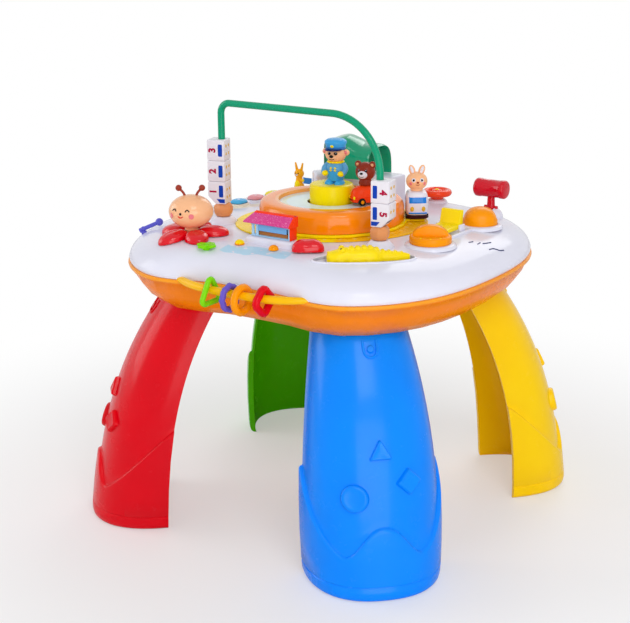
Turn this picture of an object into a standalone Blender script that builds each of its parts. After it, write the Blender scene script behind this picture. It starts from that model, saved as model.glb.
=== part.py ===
"""Musical activity table: a toy deck on four clip-on legs, with a turning drum, a train and hand toys.

Metres, +Z up. The origin is on the floor under the middle of the table. The ring rail faces -Y.
"""
import math

import bmesh
import bpy
from mathutils import Matrix, Vector

# Fits shared by all pieces
GAP = 0.0003
SLOPE_GAP = 0.0009
MERGE = 0.00001
OVERRUN = 0.004
WALL = 0.003

# Table top
TOP_RADIUS = 0.225
CORNER_SWELL_SHARE = 0.04
RAIL_DENT = 0.030
RAIL_DENT_ANGLE = math.radians(274)
RAIL_DENT_SPREAD = math.radians(24)
DECK_HEIGHT = 0.336
DOME_RISE = 0.033
TRAY_DEPTH = 0.041
SEAM_HEIGHT = DECK_HEIGHT - DOME_RISE
TRAY_BOTTOM = SEAM_HEIGHT - TRAY_DEPTH
DOME_SHARES = ((1.0, 0.0), (1.004, 0.15), (0.985, 0.42), (0.94, 0.68), (0.88, 0.85), (0.80, 0.955),
               (0.72, 1.0))
TRAY_SHARES = ((1.0, 0.0), (1.006, 0.04), (1.006, 0.13), (0.99, 0.17), (0.972, 0.42), (0.93, 0.74),
               (0.87, 1.0))
SHELL_SIDES = 40

# Legs
LEG_HEIGHT = TRAY_BOTTOM - GAP
LEG_FOOT_RADIUS = 0.2077
LEG_TOP_RADIUS = 0.140
LEG_FOOT_HALF_WIDTH = 0.0700
LEG_FOOT_DEPTH = 0.081
LEG_TOP_DEPTH = 0.059
LEG_BEND_SHARES = (0.08, 0.33, 0.59)
LEG_SWELL_SHARES = (0.29, -0.565)
LEG_ROUNDNESS_SHARE = 0.85
LEG_SOCK_PROUD = 0.004
LEG_SOCK_STEP = 0.003
LEG_SOCK_SIDE_HEIGHT = 0.120
LEG_SOCK_PEAK_HEIGHT = 0.078
LEG_SOCK_VALLEY_HEIGHT = 0.047
LEG_BAND_HEIGHT = 0.016
LEG_TOE_RADIUS = 0.007
LEG_SOLE_WIDTH = 0.008
LEG_COLUMNS = 12
LEG_ROW_SHARES = (0.33, 0.67, 1.0)
LEG_PLATE = 0.003
PLUG_WIDTH = 0.040
PLUG_DEPTH = 0.010
PLUG_HEIGHT = 0.009
SIGN_PROUD = 0.0045
SIGN_SIZE = 0.0145
TRIANGLE_HEIGHT = 0.152
CIRCLE_HEIGHT = 0.108
SQUARE_HEIGHT = 0.121
SIGN_SPREAD = math.radians(20)

# Turning middle: track, train ring, drum, cap
TRACK_LENGTH = 0.224
TRACK_WIDTH = 0.194
TRACK_TURN = math.radians(33)
TRACK_THICKNESS = 0.0017
TRACK_TOP = DECK_HEIGHT + GAP + TRACK_THICKNESS
TRAIN_RING_RADIUS = 0.0875
TRAIN_RING_SCALLOP = 0.0012
TRAIN_RING_SCALLOPS = 26
TRAIN_RING_THICKNESS = 0.003
TRAIN_RING_BORE = 0.036
TRAIN_RING_TOP = TRACK_TOP + GAP + TRAIN_RING_THICKNESS
DRUM_RADIUS = 0.084
DRUM_RISE = 0.030
DRUM_TOP = DECK_HEIGHT + DRUM_RISE
DRUM_BOTTOM = TRAIN_RING_TOP + GAP
DRUM_RIM_RADIUS = 0.061
DRUM_RECESS = 0.009
DRUM_HUB_RADIUS = 0.029
DRUM_HUB_DROP = 0.0045
DRUM_POST_RADIUS = 0.008
DRUM_SIDES = 32
RETAINER_RADIUS = 0.036
DISC_DROP = 0.004
DISC_THICKNESS = 0.0016
CAP_RADIUS = 0.0255
CAP_RISE = 0.047
CAP_TOP = DECK_HEIGHT + CAP_RISE
CAP_TRAVEL = 0.003

# What rides on the drum
FIGURE_SIZE = 0.0105
FIGURE_BREADTH_SHARE = 1.18
DRIVER_X = 0.004
DRIVER_Y = 0.003
FACING = math.radians(12)
CAR_X = 0.0425
CAR_Y = 0.0060
CAR_LENGTH = 0.036
CAR_WIDTH = 0.022
CAR_HEIGHT = 0.0225
CAR_TURN = math.radians(60)
BEAR_HEAD = 0.0115

# Train on the track
TRAIN_PATH_RADIUS = 0.0988
TRAIN_ANGLE = math.radians(37)
TRAIN_WIDTH = 0.0265
TRAIN_LENGTH = 0.030
TRAIN_RISE = 0.037
TRAIN_ROOF = DECK_HEIGHT + TRAIN_RISE
CHASSIS_HEIGHT = 0.0045
RABBIT_HEAD = 0.0122
RABBIT_RISE = 0.067
RABBIT_EAR_TOP = DECK_HEIGHT + RABBIT_RISE

# Tunnel hill and the raised bank that carries it
TUNNEL_START = math.radians(92)
TUNNEL_END = math.radians(128)
TUNNEL_INNER_RADIUS = 0.0805
TUNNEL_OUTER_RADIUS = 0.141
TUNNEL_RISE = 0.085
TUNNEL_SUMMIT = DECK_HEIGHT + TUNNEL_RISE
TUNNEL_ROUNDNESS_SHARE = 0.6
TUNNEL_HEIGHT_SHARES = (0.78, 0.88, 0.97, 1.0, 0.92, 0.82, 0.80, 0.78)
BANK_RISE = 0.0357
BANK_TOP = DECK_HEIGHT + BANK_RISE
BANK_INNER_RADIUS = 0.1135
BANK_OUTER_RADIUS = 0.143
BANK_START = math.radians(84)
BANK_END = math.radians(134)
BANK_STEPS = 9

# Bead arch
ARCH_HALF_SPAN = 0.1075
ARCH_Y = -0.066
ARCH_RISE = 0.140
ARCH_TOP = DECK_HEIGHT + ARCH_RISE
ARCH_TUBE_RADIUS = 0.004
ARCH_LEFT_BEND = 0.012
ARCH_RIGHT_BEND = 0.062
SOCKET_RADIUS = 0.016
SOCKET_HEIGHT = 0.0075
HEX_BEAD_RADIUS = 0.0115
HEX_BEAD_HEIGHT = 0.0155
BLOCK_SIZE = 0.021
BLOCK_OFFSET = 0.004
BLOCK_TURNS = {-1: math.radians(17.6), 1: math.radians(9)}
BLOCK_HEIGHT = 0.024
NOSE_HEIGHT = 0.026
NOSE_SLANT = 0.009
BEAD_CLEARANCE = 0.0005

# Station
STATION_FRONT = -0.126
STATION_BACK = -0.115
STATION_LEFT = -0.022
STATION_RIGHT = 0.032
PLINTH_HEIGHT = 0.0075
PLINTH_MARGIN = 0.005
STATION_WALL = 0.0035
EAVES_RISE = 0.022
STATION_EAVES = DECK_HEIGHT + EAVES_RISE
RIDGE_RISE = 0.034
STATION_RIDGE = DECK_HEIGHT + RIDGE_RISE
ROOF_OVERHANG = 0.004
BENCH_HEIGHT = 0.0045

# Bee on its flower, clover and lever
BEE_X = -0.098
BEE_Y = -0.136
BEE_HEAD_RADII = (0.0250, 0.0215, 0.0190)
BEE_RISE = 0.0275
BEE_HEAD_HEIGHT = DECK_HEIGHT + BEE_RISE
BEE_TURN = math.radians(34)
BEE_NECK_RADIUS = 0.0075
ANTENNA_RADIUS = 0.0014
ANTENNA_BALL = 0.0036
ANTENNA_SPREAD = 0.013
ANTENNA_RISE = 0.054
ANTENNA_TOP = DECK_HEIGHT + ANTENNA_RISE
PETAL_COUNT = 5
PETAL_FIRST_ANGLE = math.radians(34)
PETAL_DISTANCE = 0.0235
PETAL_LENGTH = 0.0185
PETAL_WIDTH = 0.0135
PETAL_HEIGHT = 0.0085
CLOVER_X = -0.0516
CLOVER_Y = -0.1673
CLOVER_RADIUS = 0.012
CLOVER_THICKNESS = 0.003
LEVER_X = -0.183
LEVER_Y = -0.122
LEVER_LENGTH = 0.024
LEVER_RADIUS = 0.0022
LEVER_BALL = 0.0045
LEVER_ANGLE = math.radians(30)

# Hand toys of the deck
STEM_RADIUS = 0.004
BEAN_X = 0.056
BEAN_Y = -0.128
BEAN_ANGLE = math.radians(34)
BEAN_LENGTH = 0.035
BEAN_WIDTH = 0.024
BEAN_HEIGHT = 0.0115
BUTTON_TRAVEL = 0.0025
LAMP_Y = -0.140
LAMP_YELLOW_X = -0.027
LAMP_ORANGE_X = 0.019
LAMP_RADIUS = 0.0055
CROC_X = 0.120
CROC_Y = -0.117
CROC_ANGLE = math.radians(40)
CROC_LENGTH = 0.088
CROC_SHIFT = 0.0045
CROC_HALF_WIDTH = 0.0115
CROC_HEIGHT = 0.0125
CROC_SHARES = ((-0.50, 0.30, 0.35), (-0.47, 0.72, 0.62), (-0.38, 0.92, 0.80), (-0.28, 0.86, 1.0),
               (-0.19, 0.96, 0.92), (-0.04, 1.0, 1.0), (0.08, 0.94, 0.92), (0.15, 0.62, 0.66),
               (0.28, 0.52, 0.56), (0.40, 0.40, 0.45), (0.50, 0.16, 0.25))
RECESS_LENGTH = 0.108
RECESS_WIDTH = 0.034
RECESS_DEPTH = 0.0052
KNOB_X = 0.150
KNOB_Y = -0.030
KNOB_RADIUS = 0.0232
KNOB_DISC_HEIGHT = 0.0085
KNOB_GRIP_HEIGHT = 0.0195
KNOB_GRIP_WIDTH = 0.013
KNOB_TURN = math.radians(30)
COLLAR_HEIGHT = 0.0025
COLLAR_WIDTH = 0.004
DOME_X = 0.152
DOME_Y = 0.080
DOME_BUTTON_RADIUS = 0.020
DOME_BUTTON_RISE = 0.022
DOME_BUTTON_TOP = DECK_HEIGHT + DOME_BUTTON_RISE
DOME_COLLAR_HEIGHT = 0.003
SEAT_X = 0.135
SEAT_Y = 0.040
SEAT_WIDTH = 0.026
SEAT_BACK_HEIGHT = 0.023
SEAT_REACH = 0.035
SEAT_THICKNESS = 0.004
SEAT_PIN_RADIUS = 0.0018
EAR_THICKNESS = 0.003
MALLET_X = 0.131
MALLET_Y = 0.146
MALLET_HEAD_RADIUS = 0.011
MALLET_HEAD_LENGTH = 0.040
MALLET_RISE = 0.030
MALLET_HEAD_HEIGHT = DECK_HEIGHT + MALLET_RISE
MALLET_HANDLE_RADIUS = 0.0050
MALLET_PIN_RADIUS = 0.0022
MALLET_BASE_RADIUS = 0.015
WHEEL_X = 0.043
WHEEL_Y = 0.170
WHEEL_RADIUS = 0.0185
WHEEL_TUBE = 0.004
WHEEL_RISE = 0.011
WHEEL_HEIGHT = DECK_HEIGHT + WHEEL_RISE
WHEEL_COLUMN_RADIUS = 0.008
KEY_X = -0.152
KEY_FIRST_Y = -0.012
KEY_PITCH = 0.031
KEY_BEND = 0.0009
KEY_LENGTH = 0.0215
KEY_WIDTH = 0.018
KEY_HEIGHT = 0.0062
FLAG_X = -0.137
FLAG_Y = 0.128
FLAG_RISE = 0.037
FLAG_FIGURE_TOP = DECK_HEIGHT + FLAG_RISE
FLAG_LENGTH = 0.013
FLAG_DROP = 0.008
FLAG_THICKNESS = 0.0012

# Ring rail
RAIL_RADIUS = 0.0045
RAIL_TUCK = 0.0135
RAIL_LEFT_X = -0.074
RAIL_LEFT_TUCK = 0.035
RAIL_RIGHT_X = 0.100
RAIL_RIGHT_TUCK = 0.039
RING_RADIUS = 0.0175
RING_TUBE = 0.0042
RING_PLACES = (-0.012, 0.014, 0.030, 0.056)
RING_CLEARANCES = (0.0039, 0.0009, 0.0001, 0.0020)

# Inside the tray
BOARD_LENGTH = 0.080
BOARD_WIDTH = 0.050
BOARD_THICKNESS = 0.0016
BOARD_X = -0.050
BOARD_POST_HEIGHT = 0.006
BOARD_POST_RADIUS = 0.003
SPEAKER_X = 0.055
SPEAKER_RADIUS = 0.025
SPEAKER_HEIGHT = 0.012
GRILLE_HOLE = 0.0022
GRILLE_PITCH = 0.009
DOOR_LENGTH = 0.078
DOOR_WIDTH = 0.056
DOOR_THICKNESS = 0.0015
BOSS_MARGIN = 0.022
BOSS_DISTANCE = LEG_TOP_RADIUS - BOSS_MARGIN
BOSS_RADIUS = 0.0045
SCREW_RADIUS = 0.0015
SCREW_HEAD_RADIUS = 0.0032
SCREW_HEAD_HEIGHT = 0.0018
SCREW_LENGTH = 0.012


def clearScene():
    for item in list(bpy.data.objects):
        bpy.data.objects.remove(item, do_unlink=True)


def finish(name, colour, roughness=0.35, metallic=0.0):
    """A Principled material in the piece's own colour, 0 to 1 for each channel."""
    material = bpy.data.materials.new(name)
    material.use_nodes = True
    shader = material.node_tree.nodes["Principled BSDF"]
    shader.inputs["Base Color"].default_value = (*colour, 1.0)
    shader.inputs["Roughness"].default_value = roughness
    shader.inputs["Metallic"].default_value = metallic
    return material


# Mesh builders. Each returns a closed bmesh with its faces pointing out.

def loft(loops, ring=False):
    """Skin equal point loops; a ring joins its last loop to its first, else both ends are capped."""
    mesh = bmesh.new()
    rows = [[mesh.verts.new(point) for point in loop] for loop in loops]
    count = len(rows[0])
    pairs = list(zip(rows, rows[1:]))
    if ring:
        pairs.append((rows[-1], rows[0]))
    for lower, upper in pairs:
        for index in range(count):
            after = (index + 1) % count
            mesh.faces.new((lower[index], lower[after], upper[after], upper[index]))
    if not ring:
        mesh.faces.new(rows[0])
        mesh.faces.new(rows[-1])
    bmesh.ops.recalc_face_normals(mesh, faces=mesh.faces)
    return mesh


def circle(radius, height, sides, centre=(0, 0)):
    turn = math.tau / sides
    return [Vector((centre[0] + radius * math.cos(turn * step), centre[1] + radius * math.sin(turn * step),
                    height))
            for step in range(sides)]


def turned(profile, sides, centre=(0, 0), ring=False):
    """Turn (radius, height) points about the upright line through centre."""
    return loft([circle(radius, height, sides, centre) for radius, height in profile], ring)


def ball(centre, radii, sides=12, rows=8, turn=0.0):
    mesh = bmesh.new()
    place = Matrix.Translation(centre) @ Matrix.Rotation(turn, 4, "Z") @ Matrix.Diagonal((*radii, 1))
    bmesh.ops.create_uvsphere(mesh, u_segments=sides, v_segments=rows, radius=1, matrix=place)
    return mesh


def block(low, high, edge=0.0):
    mesh = bmesh.new()
    centre = (Vector(low) + Vector(high)) / 2
    size = Vector(high) - Vector(low)
    place = Matrix.Translation(centre) @ Matrix.Diagonal((*size, 1))
    bmesh.ops.create_cube(mesh, size=1, matrix=place)
    if edge:
        bmesh.ops.bevel(mesh, geom=mesh.edges[:], offset=edge, segments=1, affect="EDGES")
    return mesh


def rod(start, end, radius, sides=8, end_radius=None):
    """A straight round bar from start to end, tapering if end_radius is given."""
    start = Vector(start)
    end = Vector(end)
    facing = (end - start).to_track_quat("Z", "Y").to_matrix().to_4x4()
    loops = []
    for point, size in ((start, radius), (end, end_radius or radius)):
        loops.append([point + facing @ spot for spot in circle(size, 0, sides)])
    return loft(loops)


def tube(points, radius, sides=8, closed=False):
    """A round tube along the points, with capped ends unless it is closed."""
    points = [Vector(point) for point in points]
    count = len(points)
    loops = []
    side = None
    for index, point in enumerate(points):
        before = points[index - 1] if closed or index else point
        after = points[(index + 1) % count] if closed or index < count - 1 else point
        along = (after - before).normalized()
        if side is None:
            side = along.orthogonal().normalized()
        side = (side - along * side.dot(along)).normalized()
        across = along.cross(side)
        turn = math.tau / sides
        loops.append([point + (side * math.cos(turn * step) + across * math.sin(turn * step)) * radius
                      for step in range(sides)])
    return loft(loops, closed)


def plate(outline, bottom, top, edge=0.0, inset_share=0.96):
    """Raise a flat outline; with an edge the top is drawn in for a soft corner."""
    loops = [[Vector((x, y, bottom)) for x, y in outline]]
    if edge:
        middle = Vector((sum(x for x, y in outline), sum(y for x, y in outline))) / len(outline)
        loops.append([Vector((x, y, top - edge)) for x, y in outline])
        drawn = [middle + (Vector(point) - middle) * inset_share for point in outline]
        loops.append([Vector((x, y, top)) for x, y in drawn])
    else:
        loops.append([Vector((x, y, top)) for x, y in outline])
    return loft(loops)


def mound(centre, radii, turn=0.0, sides=12, skirt=0.0):
    """A half ellipsoid on its flat base, with a straight skirt under it if asked."""
    levels = [(1.0, -skirt)] if skirt else []
    levels += [(math.cos(lift), radii[2] * math.sin(lift)) for lift in (0, 0.5, 1.0, 1.38)]
    facing = Matrix.Rotation(turn, 3, "Z")
    loops = []
    for share, rise in levels:
        spots = [facing @ Vector((radii[0] * spot.x * share, radii[1] * spot.y * share, 0))
                 for spot in circle(1, 0, sides)]
        loops.append([Vector(centre) + spot + Vector((0, 0, rise)) for spot in spots])
    return loft(loops)


def moved(mesh, place):
    bmesh.ops.transform(mesh, matrix=place, verts=mesh.verts)
    return mesh


def together(meshes):
    """Gather separate closed bodies in one mesh."""
    whole = bmesh.new()
    for mesh in meshes:
        data = bpy.data.meshes.new("gathered")
        mesh.to_mesh(data)
        mesh.free()
        whole.from_mesh(data)
        bpy.data.meshes.remove(data)
    return whole


def holder(mesh):
    data = bpy.data.meshes.new("shape")
    mesh.to_mesh(data)
    mesh.free()
    item = bpy.data.objects.new("shape", data)
    bpy.context.scene.collection.objects.link(item)
    return item


def combined(base, tool, operation):
    """Join, cut or intersect two closed meshes with an exact Boolean; both are used up."""
    body = holder(base)
    other = holder(tool)
    step = body.modifiers.new("combine", "BOOLEAN")
    step.operation = operation
    step.solver = "EXACT"
    step.object = other
    bpy.context.view_layer.update()
    result = bmesh.new()
    result.from_object(body, bpy.context.evaluated_depsgraph_get())
    for item in (body, other):
        data = item.data
        bpy.data.objects.remove(item, do_unlink=True)
        bpy.data.meshes.remove(data)
    bmesh.ops.remove_doubles(result, verts=result.verts, dist=MERGE)
    return result


def fused(meshes):
    whole = meshes[0]
    for mesh in meshes[1:]:
        whole = combined(whole, mesh, "UNION")
    return whole


def cut(mesh, cutters):
    for cutter in cutters:
        mesh = combined(mesh, cutter, "DIFFERENCE")
    return mesh


def make(name, mesh, material, origin=(0, 0, 0), crease=math.radians(35)):
    """Turn a mesh in world places into a named object whose origin is the given point."""
    bmesh.ops.translate(mesh, vec=-Vector(origin), verts=mesh.verts)
    data = bpy.data.meshes.new(name)
    mesh.to_mesh(data)
    mesh.free()
    data.shade_smooth()
    data.set_sharp_from_angle(angle=crease)
    data.materials.append(material)
    item = bpy.data.objects.new(name, data)
    item.location = origin
    bpy.context.scene.collection.objects.link(item)
    return item


# The outline and the surface of the table top

def rimRadius(angle):
    """Rounded square with its corners over the legs, dented behind the ring rail."""
    swell = 1 + CORNER_SWELL_SHARE * math.cos(4 * (angle - math.pi / 4))
    away = (angle - RAIL_DENT_ANGLE + math.pi) % math.tau - math.pi
    return TOP_RADIUS * swell - RAIL_DENT * math.exp(-(away / RAIL_DENT_SPREAD) ** 4)


def rimLoop(share, height, inset=0.0):
    loop = []
    for step in range(SHELL_SIDES):
        angle = math.tau * step / SHELL_SIDES
        radius = share * rimRadius(angle) - inset
        loop.append(Vector((radius * math.cos(angle), radius * math.sin(angle), height)))
    return loop


def deckHeight(x, y):
    """Height of the white deck's surface at a place in plan."""
    share = math.hypot(x, y) / rimRadius(math.atan2(y, x))
    for (outer, low), (inner, high) in zip(DOME_SHARES[1:], DOME_SHARES[2:]):
        if share > inner:
            mix = min(1.0, (outer - share) / (outer - inner))
            return SEAM_HEIGHT + DOME_RISE * (low + (high - low) * mix)
    return DECK_HEIGHT


def draped(mesh):
    """Let a piece that was made on the flat deck follow the fall of the rim."""
    for vertex in mesh.verts:
        vertex.co.z += deckHeight(vertex.co.x, vertex.co.y) - DECK_HEIGHT
    return mesh


def stem(x, y, top, radius=STEM_RADIUS):
    """The round shank that carries a toy through the deck."""
    return rod((x, y, DECK_HEIGHT - WALL - OVERRUN), (x, y, top), radius)


def uphill(x, y, radius):
    """Height of the deck under the highest edge of a round foot."""
    return max(deckHeight(x + aside * radius, y + ahead * radius)
               for aside, ahead in ((0, 0), (1, 0), (-1, 0), (0, 1), (0, -1)))


def stemHole(x, y, radius=STEM_RADIUS):
    return rod((x, y, deckHeight(x, y) - 5 * WALL), (x, y, DECK_HEIGHT + 4 * WALL), radius + GAP, 10)


# Case shells

def railPoints():
    """The rail's bent bar: both ends dive into the shell at the sides of the dent."""
    left = Vector((RAIL_LEFT_X, RAIL_LEFT_TUCK - TOP_RADIUS, SEAM_HEIGHT))
    right = Vector((RAIL_RIGHT_X, RAIL_RIGHT_TUCK - TOP_RADIUS, SEAM_HEIGHT))
    points = []
    steps = 12
    for step in range(steps + 1):
        share = step / steps
        point = left.lerp(right, share)
        bow = 1 - abs(2 * share - 1) ** 3
        point.y = point.y + (RAIL_TUCK - TOP_RADIUS - point.y) * bow
        points.append(point)
    return points


def lowerShell(material):
    outer = [rimLoop(share, SEAM_HEIGHT - GAP - TRAY_DEPTH * drop) for share, drop in TRAY_SHARES]
    outer[-1] = rimLoop(TRAY_SHARES[-1][0], TRAY_BOTTOM)
    inner = [rimLoop(share, SEAM_HEIGHT - GAP - TRAY_DEPTH * drop, WALL)
             for share, drop in TRAY_SHARES[:-1:2]]
    floor_height = TRAY_BOTTOM + WALL
    inner.append(rimLoop(TRAY_SHARES[-1][0], floor_height, WALL / 2))
    mesh = loft(inner[::-1] + outer)
    posts = [turned(((BOARD_POST_RADIUS, floor_height - WALL / 2),
                     (BOARD_POST_RADIUS, floor_height + BOARD_POST_HEIGHT)),
                    10, spot) for spot in boardCorners()]
    mesh = combined(mesh, together(posts), "UNION")
    recess = block((-DOOR_LENGTH / 2 - GAP, -DOOR_WIDTH / 2 - GAP, TRAY_BOTTOM - OVERRUN),
                   (DOOR_LENGTH / 2 + GAP, DOOR_WIDTH / 2 + GAP, TRAY_BOTTOM + DOOR_THICKNESS + GAP))
    slots = [moved(block((LEG_TOP_RADIUS + PLUG_DEPTH - GAP, -PLUG_WIDTH / 2 - GAP, TRAY_BOTTOM - OVERRUN),
                         (LEG_TOP_RADIUS + 2 * PLUG_DEPTH + GAP, PLUG_WIDTH / 2 + GAP,
                          floor_height + OVERRUN)),
                   Matrix.Rotation(angle, 4, "Z")) for angle in cornerAngles()]
    screws = [rod((x, y, TRAY_BOTTOM - OVERRUN), (x, y, floor_height + OVERRUN), SCREW_RADIUS + GAP, 8)
              for x, y in bossPlaces()]
    grille = [rod((SPEAKER_X + GRILLE_PITCH * across, GRILLE_PITCH * along, TRAY_BOTTOM - OVERRUN),
                  (SPEAKER_X + GRILLE_PITCH * across, GRILLE_PITCH * along, floor_height + OVERRUN),
                  GRILLE_HOLE, 6)
              for across, along in ((0, 0), (1, 0), (-1, 0), (0, 1), (0, -1), (1, 1), (-1, -1), (1, -1),
                                    (-1, 1))
              if SPEAKER_X + GRILLE_PITCH * across > DOOR_LENGTH / 2 + 2 * GRILLE_HOLE]
    rail = tube(railPoints(), RAIL_RADIUS + GAP)
    return make("lower_shell", cut(mesh, [recess, together(slots + screws + grille), rail]), material)


def bankSegment(inner, outer, bottom, top, start, end):
    """A block that follows the track round the back of the drum."""
    loops = []
    for step in range(BANK_STEPS + 1):
        angle = start + (end - start) * step / BANK_STEPS
        away = Vector((math.cos(angle), math.sin(angle), 0))
        up = Vector((0, 0, 1))
        loops.append([away * inner + up * bottom, away * outer + up * bottom,
                      away * outer + up * top, away * inner + up * top])
    return loft(loops)


def collar(x, y, radius, height):
    """A low turned seat on the deck, sunk into it."""
    ground = min(deckHeight(x + dx * radius, y + dy * radius)
                 for dx, dy in ((1, 0), (-1, 0), (0, 1), (0, -1)))
    top = DECK_HEIGHT + height
    return turned(((radius + COLLAR_WIDTH, ground - WALL / 2), (radius + COLLAR_WIDTH, ground),
                   (radius + COLLAR_WIDTH / 2, top - height / 4), (radius + COLLAR_WIDTH / 3, top)), 18,
                  (x, y))


def oval(length, width, sides, turn=0.0, centre=(0, 0)):
    points = []
    for spot in circle(1, 0, sides):
        x = spot.x * length / 2
        y = spot.y * width / 2
        points.append((centre[0] + x * math.cos(turn) - y * math.sin(turn),
                       centre[1] + x * math.sin(turn) + y * math.cos(turn)))
    return points


def topShell(material):
    outer = [rimLoop(share, SEAM_HEIGHT + DOME_RISE * rise) for share, rise in DOME_SHARES]
    inner = [rimLoop(share, SEAM_HEIGHT + DOME_RISE * rise - (WALL if rise > 0.2 else 0), WALL)
             for share, rise in DOME_SHARES[::2]]
    bore = DRUM_HUB_RADIUS + GAP
    middle = [circle(bore, DECK_HEIGHT, SHELL_SIDES), circle(bore, DECK_HEIGHT - WALL, SHELL_SIDES)]
    mesh = loft(outer + middle + inner[::-1], ring=True)
    sunk = DECK_HEIGHT - WALL / 2
    floor = DECK_HEIGHT - RECESS_DEPTH - WALL
    bank = bankSegment(BANK_INNER_RADIUS, BANK_OUTER_RADIUS, sunk, BANK_TOP, BANK_START, BANK_END)
    plinth = block((STATION_LEFT - PLINTH_MARGIN, STATION_FRONT - PLINTH_MARGIN / 2, sunk),
                   (STATION_RIGHT + PLINTH_MARGIN, STATION_BACK + GAP, DECK_HEIGHT + PLINTH_HEIGHT), GAP)
    knob = collar(KNOB_X, KNOB_Y, KNOB_RADIUS, COLLAR_HEIGHT)
    dome = collar(DOME_X, DOME_Y, DOME_BUTTON_RADIUS, DOME_COLLAR_HEIGHT)
    column = rod((WHEEL_X, WHEEL_Y, deckHeight(WHEEL_X, WHEEL_Y) - WALL / 2),
                 (WHEEL_X, WHEEL_Y, WHEEL_HEIGHT - 2 * WHEEL_TUBE), WHEEL_COLUMN_RADIUS * 1.5, 12,
                 WHEEL_COLUMN_RADIUS)
    hammer_ground = deckHeight(MALLET_X, MALLET_Y)
    hammer = mound((MALLET_X, MALLET_Y, hammer_ground), (MALLET_BASE_RADIUS, MALLET_BASE_RADIUS, malletAxis()
                   - hammer_ground + 2 * MALLET_PIN_RADIUS), skirt=WALL / 2)
    ear_reach = SEAT_WIDTH / 2 + GAP + EAR_THICKNESS
    ears = [block((SEAT_X + side * ear_reach - (EAR_THICKNESS if side > 0 else 0),
                   SEAT_Y - 3 * SEAT_PIN_RADIUS, sunk),
                  (SEAT_X + side * ear_reach + (EAR_THICKNESS if side < 0 else 0),
                   SEAT_Y + 3 * SEAT_PIN_RADIUS, seatAxis() + 2 * SEAT_PIN_RADIUS)) for side in (-1, 1)]
    pocket = plate(oval(RECESS_LENGTH + 2 * WALL, RECESS_WIDTH + 2 * WALL, 16, CROC_ANGLE, (CROC_X, CROC_Y)),
                   floor, sunk)
    bosses = [turned(((BOSS_RADIUS, TRAY_BOTTOM + WALL + GAP), (BOSS_RADIUS, sunk)), 8, spot)
              for spot in bossPlaces()]
    sockets = [archSocket(side * ARCH_HALF_SPAN) for side in (-1, 1)]
    raised = [bank, plinth, knob, dome, column, hammer, pocket] + ears + bosses + sockets
    mesh = combined(mesh, together(raised), "UNION")
    hollow = bankSegment(BANK_INNER_RADIUS + WALL, BANK_OUTER_RADIUS - WALL, DECK_HEIGHT - 2 * WALL,
                         BANK_TOP - WALL,
                         BANK_START + WALL / BANK_INNER_RADIUS, BANK_END - WALL / BANK_INNER_RADIUS)
    recess = plate(oval(RECESS_LENGTH, RECESS_WIDTH, 20, CROC_ANGLE, (CROC_X, CROC_Y)),
                   DECK_HEIGHT - RECESS_DEPTH,
                   DECK_HEIGHT + OVERRUN)
    dome_hole = turned(((DOME_BUTTON_RADIUS + GAP, DECK_HEIGHT - 4 * WALL),
                        (DOME_BUTTON_RADIUS + GAP, DECK_HEIGHT + 4 * WALL)), 24, (DOME_X, DOME_Y))
    slot_width = MALLET_HANDLE_RADIUS + GAP
    hammer_slot = block((MALLET_X - slot_width, MALLET_Y - MALLET_BASE_RADIUS - OVERRUN,
                         malletAxis() - slot_width),
                        (MALLET_X + slot_width, MALLET_Y + slot_width, MALLET_HEAD_HEIGHT))
    hammer_pin = rod((MALLET_X - 2 * slot_width - GAP, MALLET_Y, malletAxis()),
                     (MALLET_X + 2 * slot_width + GAP, MALLET_Y, malletAxis()), MALLET_PIN_RADIUS + GAP, 12)
    seat_pin = rod((SEAT_X - SEAT_WIDTH, SEAT_Y, seatAxis()), (SEAT_X + SEAT_WIDTH, SEAT_Y, seatAxis()),
                   SEAT_PIN_RADIUS + GAP, 12)
    holes = [stemHole(KNOB_X, KNOB_Y), stemHole(CROC_X, CROC_Y), stemHole(BEAN_X, BEAN_Y),
             stemHole(CLOVER_X, CLOVER_Y), stemHole(LEVER_X, LEVER_Y, LEVER_RADIUS),
             stemHole(FLAG_X, FLAG_Y),
             stemHole(BEE_X, BEE_Y)]
    holes += [stemHole(x, y) for x, y in keyPlaces()]
    holes += [stemHole(side * ARCH_HALF_SPAN, ARCH_Y, ARCH_TUBE_RADIUS) for side in (-1, 1)]
    holes += [stemHole(x, LAMP_Y, LAMP_RADIUS / 2) for x in (LAMP_YELLOW_X, LAMP_ORANGE_X)]
    holes.append(rod((WHEEL_X, WHEEL_Y, DECK_HEIGHT - 5 * WALL), (WHEEL_X, WHEEL_Y, WHEEL_HEIGHT + OVERRUN),
                     STEM_RADIUS + GAP, 12))
    screw_holes = [rod((x, y, TRAY_BOTTOM), (x, y, TRAY_BOTTOM + 2 * SCREW_LENGTH), SCREW_RADIUS + GAP, 8)
                   for x, y in bossPlaces()]
    rail = tube(railPoints(), RAIL_RADIUS + GAP)
    cutters = [hollow, recess, dome_hole, hammer_slot, hammer_pin, seat_pin, together(holes + screw_holes),
               rail]
    return make("top_shell", cut(mesh, cutters), material)


def cornerAngles():
    return [math.radians(225), math.radians(315), math.radians(45), math.radians(135)]


def bossPlaces():
    return [(BOSS_DISTANCE * math.cos(angle), BOSS_DISTANCE * math.sin(angle)) for angle in cornerAngles()]


def boardCorners():
    margin = 3 * BOARD_POST_RADIUS
    return [(BOARD_X + side * (BOARD_LENGTH / 2 - margin), ahead * (BOARD_WIDTH / 2 - margin))
            for side in (-1, 1) for ahead in (-1, 1)]


def keyPlaces():
    return [(KEY_X + KEY_BEND * step ** 2, KEY_FIRST_Y + KEY_PITCH * step) for step in range(4)]


def malletAxis():
    return deckHeight(MALLET_X, MALLET_Y) + 2 * MALLET_HANDLE_RADIUS


def seatAxis():
    return DECK_HEIGHT + 3 * SEAT_PIN_RADIUS


# Legs

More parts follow.
